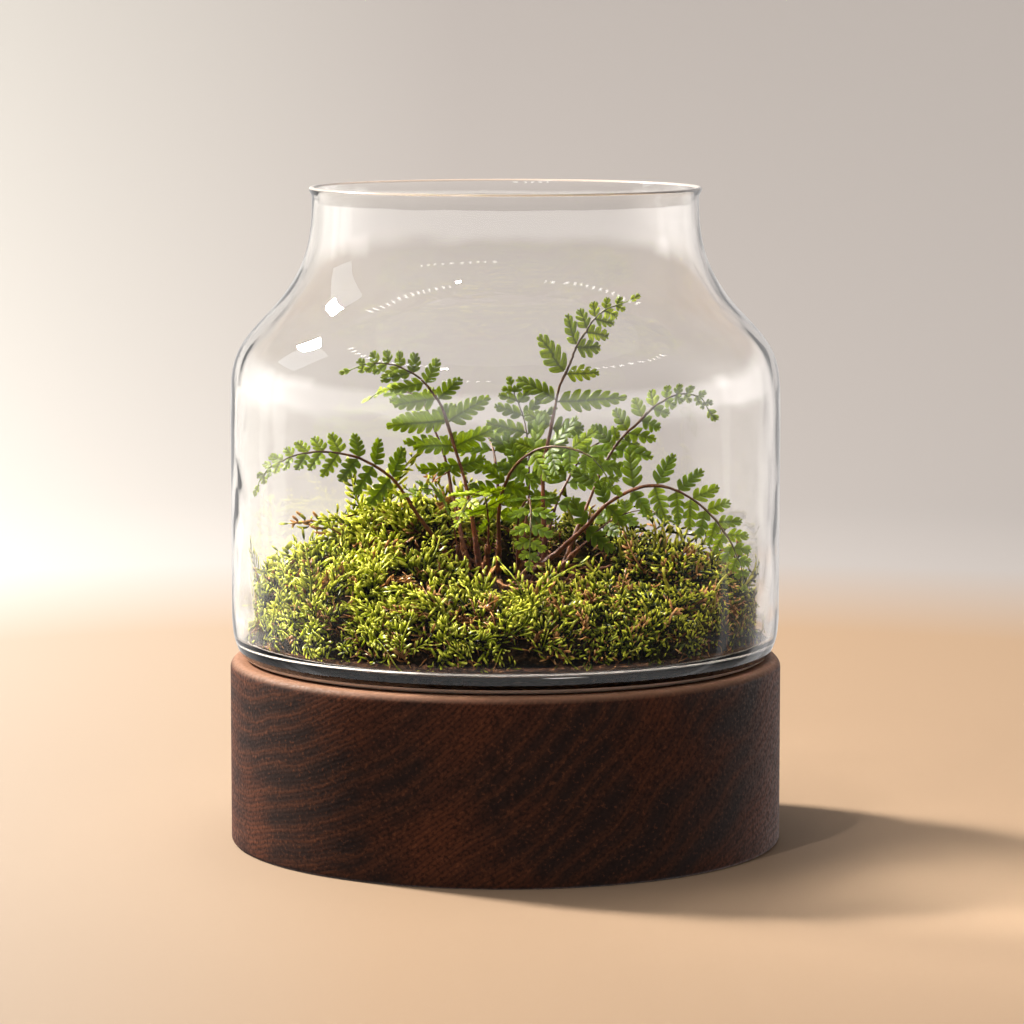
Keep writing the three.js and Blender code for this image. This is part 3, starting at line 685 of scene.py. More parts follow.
def polar_shell(gather, centre, reach, rings, top, bottom, **values):
    """A closed shell over a star-shaped plot, with a height rule for each of its two sides."""
    spokes = len(reach)
    angles = round_turn(spokes)
    shares = (np.arange(rings) + 1) / rings
    x = np.concatenate([[centre[0]], (centre[0] + np.outer(shares, reach * np.cos(angles))).ravel()])
    y = np.concatenate([[centre[1]], (centre[1] + np.outer(shares, reach * np.sin(angles))).ravel()])
    count = len(x)
    points = np.concatenate([np.stack([x, y, top(x, y)], 1), np.stack([x, y, bottom(x, y)], 1)])
    faces = []
    for i in range(spokes):
        j = (i + 1) % spokes
        faces.append([0, 1 + i, 1 + j])
        faces.append([count, count + 1 + j, count + 1 + i])
        for ring in range(rings - 1):
            near = 1 + ring * spokes
            far = near + spokes
            faces.append([near + i, far + i, far + j, near + j])
            faces.append([count + near + j, count + far + j, count + far + i, count + near + i])
        rim = 1 + (rings - 1) * spokes
        faces.append([rim + i, count + rim + i, count + rim + j, rim + j])
    gather.add(points, faces, **values)
    return points


# Shapes strewn over a surface

# How much the clumps differ in density, what is taken off it, and the density between them
CLUMP_CONTRAST = 4.4
CLUMP_OFFSET = -1.25
THINNEST = 0.3
# How far shapes turn upwards from the surface, and the power by which they shrink where less grows
TO_LIGHT = 0.45
SHORTENING = 0.6


class Strewing(NodeTree):
    """A Geometry Nodes tree that strews a collection's shapes over the upward faces of a mesh."""

    INPUTS = [
        ("Per square metre", "NodeSocketFloat", 1.0e6),
        ("Smallest", "NodeSocketFloat", 0.7),
        ("Largest", "NodeSocketFloat", 1.3),
        ("Lean", "NodeSocketFloat", 0.5),
        ("Clump size", "NodeSocketFloat", 0.0048),
        ("Tall share", "NodeSocketFloat", 0.0),
        ("Seed", "NodeSocketInt", 1),
    ]

    def __init__(self, name, shapes, common_count, finish, up_from):
        """Of the shapes, in the order of their names, the first common_count are the common ones."""
        self.shapes = bpy.data.collections.new(name + "_shapes")
        for shape in shapes:
            if shape.name in bpy.context.scene.collection.objects:
                bpy.context.scene.collection.objects.unlink(shape)
            self.shapes.objects.link(shape)
        super().__init__(bpy.data.node_groups.new(name, "GeometryNodeTree"))
        interface = self.tree.interface
        interface.new_socket("Geometry", in_out="INPUT", socket_type="NodeSocketGeometry")
        self.keys = {}
        for label, kind, value in self.INPUTS:
            socket = interface.new_socket(label, in_out="INPUT", socket_type=kind)
            socket.default_value = value
            self.keys[label] = socket.identifier
        interface.new_socket("Geometry", in_out="OUTPUT", socket_type="NodeSocketGeometry")
        self.build(common_count, len(shapes), finish, up_from)

    def tidy(self):
        bpy.data.collections.remove(self.shapes)

    def chance(self, kind, low, high, seed):
        """A random float, whole number or vector for each element."""
        made = self.node("FunctionNodeRandomValue", {"data_type": kind})
        slot = {"FLOAT_VECTOR": 0, "FLOAT": 1, "INT": 2}[kind]
        ends = {"FLOAT_VECTOR": (0, 1), "FLOAT": (2, 3), "INT": (4, 5)}[kind]
        self.feed(made.inputs[ends[0]], low)
        self.feed(made.inputs[ends[1]], high)
        self.feed(made.inputs["Seed"], seed)
        return made.outputs[slot]

    def build(self, common_count, count, finish, up_from):
        start = self.node("NodeGroupInput").outputs
        end = self.node("NodeGroupOutput")
        seed = start["Seed"]
        normal = self.node("GeometryNodeInputNormal").outputs[0]
        up = self.part_of(normal, "Z")
        faces_up = self.node("FunctionNodeCompare", {"operation": "GREATER_THAN"}, in_0=up, in_1=up_from)
        place = self.node("GeometryNodeInputPosition").outputs[0]
        clump_scale = self.maths("DIVIDE", 1.0, start["Clump size"])
        clumps = self.node("ShaderNodeTexNoise", Vector=place, Scale=clump_scale, Detail=1.0)
        thick = self.maths("MULTIPLY_ADD", clumps.outputs["Fac"], CLUMP_CONTRAST, CLUMP_OFFSET)
        bare = self.node("GeometryNodeInputNamedAttribute", {"data_type": "FLOAT"}, Name="grows").outputs[0]
        density = self.maths("MULTIPLY", self.maths("MULTIPLY", start["Per square metre"], bare),
                             self.maths("MAXIMUM", thick, THINNEST))
        points = self.node("GeometryNodeDistributePointsOnFaces", Mesh=start["Geometry"],
                           Selection=faces_up.outputs[0], Density=density, Seed=seed)
        to_light = self.node("ShaderNodeVectorMath", {"operation": "ADD"}, in_0=points.outputs["Normal"],
                             in_1=(0.0, 0.0, TO_LIGHT)).outputs[0]
        upward = self.node("FunctionNodeAlignRotationToVector", {"axis": "Z"}, Vector=to_light)
        lean = start["Lean"]
        opposite = self.maths("MULTIPLY", lean, -1.0)
        low = self.node("ShaderNodeCombineXYZ", X=opposite, Y=opposite, Z=-math.pi).outputs[0]
        high = self.node("ShaderNodeCombineXYZ", X=lean, Y=lean, Z=math.pi).outputs[0]
        turn = self.node("FunctionNodeEulerToRotation", Euler=self.chance("FLOAT_VECTOR", low, high, seed))
        turned_way = self.node("FunctionNodeRotateRotation", {"rotation_space": "LOCAL"},
                               Rotation=upward.outputs[0], Rotate_By=turn.outputs[0])
        size = self.maths("MULTIPLY", self.chance("FLOAT", start["Smallest"], start["Largest"], 7),
                          self.maths("ADD", clumps.outputs["Fac"], 0.5))
        size = self.maths("MULTIPLY", size, self.maths("POWER", self.maths("MINIMUM", bare, 1.0), SHORTENING))
        source = self.node("GeometryNodeCollectionInfo", Collection=self.shapes, Separate_Children=True,
                           Reset_Children=True)
        tall = self.node("FunctionNodeCompare", {"operation": "LESS_THAN"},
                         in_0=self.chance("FLOAT", 0.0, 1.0, 31), in_1=start["Tall share"]).outputs[0]
        which = self.node("GeometryNodeSwitch", {"input_type": "INT"}, Switch=tall,
                          **{"False": self.chance("INT", 0, common_count - 1, 11),
                             "True": self.chance("INT", common_count, count - 1, 12)}).outputs[0]
        strewn = self.node("GeometryNodeInstanceOnPoints", Points=points.outputs["Points"],
                           Instance=source.outputs[0], Pick_Instance=True, Instance_Index=which,
                           Rotation=turned_way.outputs[0], Scale=size)
        tinted = self.node("GeometryNodeStoreNamedAttribute", {"data_type": "FLOAT", "domain": "INSTANCE"},
                           Geometry=strewn.outputs[0], Name="tint", Value=self.chance("FLOAT", 0.0, 1.0, 23))
        real = self.node("GeometryNodeRealizeInstances", Geometry=tinted.outputs[0]).outputs[0]
        join = self.node("GeometryNodeJoinGeometry")
        self.tree.links.new(real, join.inputs[0])
        self.tree.links.new(start["Geometry"], join.inputs[0])
        strewn_only = self.node("GeometryNodeInputNamedAttribute", {"data_type": "FLOAT"},
                                Name="tint").outputs[0]
        chosen = self.node("FunctionNodeCompare", {"operation": "GREATER_THAN"}, in_0=strewn_only, in_1=0.0)
        done = self.node("GeometryNodeSetMaterial", Geometry=join.outputs[0], Selection=chosen.outputs[0],
                         Material=finish)
        self.tree.links.new(done.outputs[0], end.inputs[0])

    def strew(self, ground, **inputs):
        """A plain mesh object of the ground with its shapes. The ground object is used up."""
        modifier = ground.modifiers.new("strewing", "NODES")
        modifier.node_group = self.tree
        for name, value in inputs.items():
            modifier[self.keys[name.replace("_", " ").capitalize()]] = value
        ready = ground.evaluated_get(bpy.context.evaluated_depsgraph_get())
        mesh = bpy.data.meshes.new_from_object(ready)
        name = ground.name
        bpy.data.objects.remove(ground)
        mesh.name = name
        result = bpy.data.objects.new(name, mesh)
        bpy.context.scene.collection.objects.link(result)
        return result


def small_leaf(base, way, up, length, width, curl):
    """A pointed leaf with a keel, as a closed shape of six triangles."""
    base, way = np.asarray(base, float), unit(way)
    side = unit(np.cross(way, up))
    up = np.cross(side, way)
    middle = base + 0.45 * length * way
    points = [
        base,
        middle + 0.5 * width * side,
        middle - 0.5 * width * side,
        base + length * way + curl * length * up,
        middle - 0.22 * width * up - 0.1 * curl * length * up,
    ]
    faces = [[0, 2, 1], [1, 2, 3], [0, 1, 4], [0, 4, 2], [1, 3, 4], [4, 3, 2]]
    return points, faces


GOLDEN_ANGLE = math.radians(137.5)


def stem_with_values(gather, path, radii, top_reach, straw=0.0):
    points, faces = tube(path, radii, 3)
    gather.add(points, faces, reach=top_reach * along_tube(path, 3), straw=straw)


# A moss leaf in three steps: the share of its length, its width there, and how much it bends
HORN_STEPS = ((0.3, 0.42, 0.0), (0.32, 0.52, 0.8), (0.25, 0.4, 0.9))
HORN_TIP = 0.12
HORN_FLATNESS = 0.75


def horn(foot, way, bend, length, width):
    """A plump blunt little leaf as a closed three-sided spindle that curves."""
    heading = unit(way)
    bend = np.asarray(bend, float)
    place = np.asarray(foot, float)
    points = [place]
    for share, size, turning in HORN_STEPS:
        heading = unit(heading + turning * bend)
        place = place + share * length * heading
        side = unit(np.cross(heading, [0.31, 0.17, 1.0]))
        other = np.cross(heading, side)
        for turn in (0.0, 2.1, 4.2):
            spoke = math.cos(turn) * side + HORN_FLATNESS * math.sin(turn) * other
            points.append(place + size * width * spoke)
    points.append(place + HORN_TIP * length * heading)
    faces = [[0, 2, 1], [0, 3, 2], [0, 1, 3], [7, 8, 10], [8, 9, 10], [9, 7, 10]]
    for low in (1, 4):
        faces += [[low + i, low + (i + 1) % 3, low + 3 + (i + 1) % 3, low + 3 + i] for i in range(3)]
    return np.array(points), faces


HORN_REACH = np.array([0.25] + [0.5] * 3 + [0.8] * 3 + [0.95] * 3 + [1.0])


def star_shoot(name, height, leaves, leaf_length, width, straw, seed):
    """An upright shoot with curved leaves all round it."""
    chance = np.random.default_rng(seed)
    gather = Gather("reach", "straw")
    stem = [[0, 0, -0.8], [0.15, 0.1, height * 0.5], [0.1, 0.3, height]]
    stem_with_values(gather, stem, [0.26, 0.22, 0.14], 0.5, straw)
    for i in range(leaves):
        share = (i + 0.6) / leaves
        turn = i * GOLDEN_ANGLE + chance.uniform(-0.35, 0.35)
        way = [math.cos(turn), math.sin(turn), 0.3 + 0.7 * share**2]
        bend = [chance.uniform(-1.3, 1.3), chance.uniform(-1.3, 1.3), chance.uniform(-1.4, 1.3)]
        foot = [0.15 * share, 0.3 * share, height * (0.15 + 0.85 * share)]
        length = leaf_length * (1.12 - 0.35 * share) * chance.uniform(0.8, 1.2)
        points, faces = horn(foot, way, bend, length, width)
        # Lower leaves get less reach, so they are drawn darker: partly painted shade inside the tuft.
        gather.add(points, faces, reach=HORN_REACH * (0.62 + 0.38 * share), straw=straw)
    return gather.piece(name, [living_moss], merge=1e-4)


def feather_shoot(name, length, pairs, branch, width, seed):
    """An arching shoot with a row of curved leaves on each side."""
    chance = np.random.default_rng(seed)
    gather = Gather("reach", "straw")
    path = spline([[0, 0, -0.8], [0.14 * length, 0, 0.4 * length], [0.48 * length, 0, 0.72 * length],
                   [0.95 * length, 0, 0.78 * length]], 2)
    points, faces = tube(path, np.linspace(0.24, 0.14, len(path)), 3)
    gather.add(points, faces, reach=0.5 + 0.35 * along_tube(path, 3))
    for i in range(pairs):
        share = 0.16 + 0.8 * i / pairs
        spot = share * (len(path) - 1)
        low = int(spot)
        foot = path[low] + (spot - low) * (path[low + 1] - path[low])
        ahead = unit(path[low + 1] - path[low])
        size = branch * (1.2 - 0.75 * share) * chance.uniform(0.8, 1.15)
        for side in (-1, 1):
            way = 0.6 * ahead + np.array([0, side, 0.25 + chance.uniform(-0.2, 0.3)])
            bend = 0.7 * ahead + np.array([0, 0, chance.uniform(-1.2, 0.8)])
            points, faces = horn(foot, way, bend, size, width)
            gather.add(points, faces, reach=HORN_REACH)
    points, faces = horn(path[-1], path[-1] - path[-2], [0, 0, 0.3], 0.7 * branch, width)
    gather.add(points, faces, reach=HORN_REACH)
    return gather.piece(name, [living_moss], merge=1e-4)


def twig_shoot(name, height, seed):
    """An upright branched sprig with short leaves at the ends of its branches."""
    chance = np.random.default_rng(seed)
    gather = Gather("reach", "straw")
    trunk = spline([[0, 0, -0.8], [0.3, 0.1, 0.4 * height], [0.6, 0.1, 0.75 * height], [0.3, 0.5, height]], 2)
    points, faces = tube(trunk, np.linspace(0.32, 0.22, len(trunk)), 3)
    gather.add(points, faces, reach=0.62 + 0.3 * along_tube(trunk, 3), straw=0.15)
    for i, share in enumerate((0.45, 0.7, 0.88, 1.0)):
        spot = min(int(share * (len(trunk) - 1)), len(trunk) - 1)
        turn = i * 2.4 + chance.uniform(-0.4, 0.4)
        way = np.array([math.cos(turn), math.sin(turn), 0.7])
        for side in (-0.6, 0.6):
            spread = [math.cos(turn + side), math.sin(turn + side), 0.7]
            size = (2.8 - 0.8 * share) * chance.uniform(0.8, 1.2)
            points, faces = horn(trunk[spot], way, spread, size, 0.52)
            gather.add(points, faces, reach=HORN_REACH)
    return gather.piece(name, [living_moss], merge=1e-4)


def thread_shoot(name, length, straw, seed):
    """A few thin curved threads, living or dead."""
    chance = np.random.default_rng(seed)
    gather = Gather("reach", "straw")
    for _ in range(3):
        turn = chance.uniform(0, 2 * math.pi)
        out = np.array([math.cos(turn), math.sin(turn), 0])
        bend = np.array([-math.sin(turn), math.cos(turn), 0]) * chance.uniform(-1, 1)
        reach = length * chance.uniform(0.7, 1.3)
        path = [[0, 0, -0.4], out * 0.3 * reach + [0, 0, 0.55 * reach],
                out * 0.7 * reach + bend * 0.2 * reach + [0, 0, 0.7 * reach],
                out * reach + bend * 0.5 * reach + [0, 0, 0.5 * reach]]
        stem_with_values(gather, path, [0.19, 0.17, 0.14, 0.06], 1.0, straw)
    return gather.piece(name, [living_moss], merge=1e-4)


MOSS_SPOKES = 96
MOSS_RINGS = 16
MARCH = 0.2
MAT_LUMP = 1.8
MAT_LUMP_SIZE = 7.0
MAT_BUMP = 0.4
MAT_BUMP_SIZE = 2.0
SHORT_BY_CROWN = 0.22
THICK_BY_GLASS = 0.8
THICK_FROM = 43
THICK_OVER = 5
# Past this distance from the axis only LIMIT_SHARE of what a shoot sticks out remains. What lies under
# the jar's floor is raised to it, and near the wall by FLOOR_SHARE of its depth more.
SHOOT_LIMIT = 49.9
LIMIT_SHARE = 0.25
FLOOR_SHARE = 0.1
# What grows or lies in the jar keeps this far from the inside of its wall
GLASS_GAP = 0.15


def plot_reach(name):
    """How far a cushion's plot goes from its middle in each direction."""
    centre = CUSHIONS[name][0]
    angles = round_turn(MOSS_SPOKES)
    reach = np.full(MOSS_SPOKES, MARCH)
    growing = np.ones(MOSS_SPOKES, bool)
    while growing.any():
        x = centre[0] + reach * np.cos(angles)
        y = centre[1] + reach * np.sin(angles)
        growing &= depth_in_plot(name, x, y) > 0
        reach[growing] += MARCH
    return reach - MARCH


def moss_mat(name, seed):
    """A cushion's dark lumpy body, which its shoots grow from."""
    centre, rise = CUSHIONS[name]

    def top(x, y):
        depth = np.clip(depth_in_plot(name, x, y) / MOSS_ROUNDING, 0, 1)
        dome = np.sqrt(1 - (1 - depth) ** 2)
        places = np.stack([x, y, np.zeros(len(x))], 1)
        lumps = roughness_at(places, MAT_LUMP_SIZE, seed)
        lumps = lumps + MAT_BUMP * roughness_at(places, MAT_BUMP_SIZE, seed + 20)
        return soil_height(x, y) + MOSS_EDGE + (rise + MAT_LUMP * lumps) * dome

    gather = Gather("reach", "straw", "grows")
    points = polar_shell(gather, centre, plot_reach(name), MOSS_RINGS, top,
                         lambda x, y: soil_height(x, y) + 0.1)
    by_crown = np.clip((crown_reach(points[:, 0], points[:, 1]) - 1) * 1.4, SHORT_BY_CROWN, 1)
    by_glass = np.clip((np.hypot(points[:, 0], points[:, 1]) - THICK_FROM) / THICK_OVER, 0, 1)
    gather.values["grows"] = [by_crown + THICK_BY_GLASS * by_glass]
    return gather.piece(name.replace("moss", "cushion"), [moss_thatch])


def pull_inside_glass(piece, limit_mm, floor_gap):
    """What leans against the jar stops short of its wall, and of its floor by floor_gap."""
    count = len(piece.data.vertices)
    places = np.zeros(count * 3, np.float32)
    piece.data.vertices.foreach_get("co", places)
    places = places.reshape(-1, 3)
    radius = np.hypot(places[:, 0], places[:, 1])
    limit = limit_mm * MM
    kept = np.where(radius > limit, limit + LIMIT_SHARE * (radius - limit), radius)
    height = np.clip(places[:, 2] / MM - JAR_FLOOR, 0, HEEL_ROUND)
    wall = INNER_RADIUS - HEEL_ROUND + np.sqrt(HEEL_ROUND**2 - (HEEL_ROUND - height) ** 2)
    kept = np.minimum(kept, (wall - GLASS_GAP) * MM)
    places[:, :2] *= (kept / np.maximum(radius, 1e-9))[:, None]
    floor = (JAR_FLOOR + floor_gap) * MM
    raised = floor + FLOOR_SHARE * (floor - places[:, 2]) * (radius > limit * 0.9)
    places[:, 2] = np.where(places[:, 2] < floor, raised, places[:, 2])
    piece.data.vertices.foreach_set("co", places.ravel())
    piece.data.update()


# How each cushion grows: shoots in a square millimetre, their smallest and largest size, their lean,
# which tall shoots stand among them, and how often
GROWTH = {
    "moss_back_left": (0.235, 1.0, 1.7, 0.7, "feathers", 0.2),
    "moss_left": (0.25, 0.95, 1.5, 0.8, "feathers", 0.03),
    "moss_front_left": (0.27, 0.9, 1.45, 0.8, "feathers", 0.04),
    "moss_front_low": (0.3, 0.85, 1.4, 0.7, "feathers", 0.03),
    "moss_front": (0.27, 0.85, 1.45, 0.7, "feathers", 0.04),
    "moss_front_right": (0.3, 0.78, 1.3, 0.7, "sprigs", 0.04),
    "moss_right": (0.3, 0.78, 1.3, 0.7, "sprigs", 0.08),
    "moss_back_right": (0.25, 0.8, 1.4, 0.6, "sprigs", 0.16),
    "moss_back": (0.2, 0.9, 1.55, 0.6, "sprigs", 0.06),
}


def make_moss():
    common = [
        star_shoot("common_low", 1.6, 7, 2.8, 0.54, 0.0, 1),
        star_shoot("common_tall", 3.2, 9, 2.8, 0.52, 0.0, 2),
        star_shoot("common_wide", 2.2, 7, 3.4, 0.52, 0.0, 3),
        feather_shoot("common_feather", 4.8, 5, 2.6, 0.5, 4),
        star_shoot("common_slim", 2.7, 7, 3.1, 0.42, 0.0, 8),
        star_shoot("common_dead", 1.5, 5, 2.8, 0.32, 1.0, 7),
        thread_shoot("common_thread", 3.0, 1.0, 5),
    ]
    feathers = [feather_shoot("tall_feather_a", 8.4, 8, 3.0, 0.5, 14),
                feather_shoot("tall_feather_b", 6.8, 7, 2.9, 0.5, 15)]
    sprigs = [twig_shoot("tall_sprig_a", 6.6, 16), twig_shoot("tall_sprig_b", 8.4, 17)]
    strewings = {
        kind: Strewing("moss_with_" + kind, common + tall, len(common), living_moss, up_from=-0.35)
        for kind, tall in (("feathers", feathers), ("sprigs", sprigs))
    }
    for seed, name in enumerate(CUSHIONS):
        density, smallest, largest, lean, tall, tall_share = GROWTH[name]
        mat = moss_mat(name, seed)
        piece = strewings[tall].strew(mat, per_square_metre=density * 1e6, smallest=smallest,
                                      largest=largest, lean=lean, tall_share=tall_share, seed=seed + 1)
        pull_inside_glass(piece, SHOOT_LIMIT, 0.15)
        settle(piece, "moss", name)
    for strewing in strewings.values():
        strewing.tidy()
    for shoot in common + feathers + sprigs:
        bpy.data.objects.remove(shoot)


# Soil

SOIL_RINGS = 44
SOIL_SPOKES = 144


def crumb(name, size, seed):
    """A broken lump of peat with a few dozen faces."""
    chance = np.random.default_rng(seed)
    rough = bmesh.new()
    bmesh.ops.create_icosphere(rough, subdivisions=1, radius=size)
    for vert in rough.verts:
        vert.co *= chance.uniform(0.65, 1.25)
    points = [vert.co[:] for vert in rough.verts]
    faces = [[vert.index for vert in face.verts] for face in rough.faces]
    rough.free()
    gather = Gather()
    gather.add(points, faces)
    return gather.piece(name, [damp_peat])


def make_soil():
    def top(x, y):
        places = np.stack([x, y, np.zeros(len(x))], 1)
        rough = 0.55 * roughness_at(places, 2.4, 3) + 0.3 * roughness_at(places, 0.9, 4)
        return soil_height(x, y) - 0.2 + rough * np.clip((SOIL_RADIUS - np.hypot(x, y)) / 3, 0.2, 1)

    gather = Gather("grows")
    reach = np.full(SOIL_SPOKES, SOIL_RADIUS)
    points = polar_shell(gather, (0, 0), reach, SOIL_RINGS, top, lambda x, y: np.full(len(x), JAR_FLOOR))
    deepest = np.max([depth_in_plot(name, points[:, 0], points[:, 1]) for name in CUSHIONS], axis=0)
    gather.values["grows"] = [(deepest < 0.8).astype(float)]
    crumbs = [crumb("crumb_a", 0.34, 1), crumb("crumb_b", 0.55, 2), crumb("crumb_c", 0.8, 3)]
    strewing = Strewing("peat_crumbs", crumbs, len(crumbs), damp_peat, up_from=-0.5)
    piece = strewing.strew(gather.piece("peat_mound", [damp_peat]), per_square_metre=0.5e6, smallest=0.6,
                           largest=1.2, lean=3.0, clump_size=0.012, seed=5)
    strewing.tidy()
    pull_inside_glass(piece, SOIL_RADIUS + 0.6, -0.06)
    settle(piece, "peat", "soil")
    for shape in crumbs:
        bpy.data.objects.remove(shape)
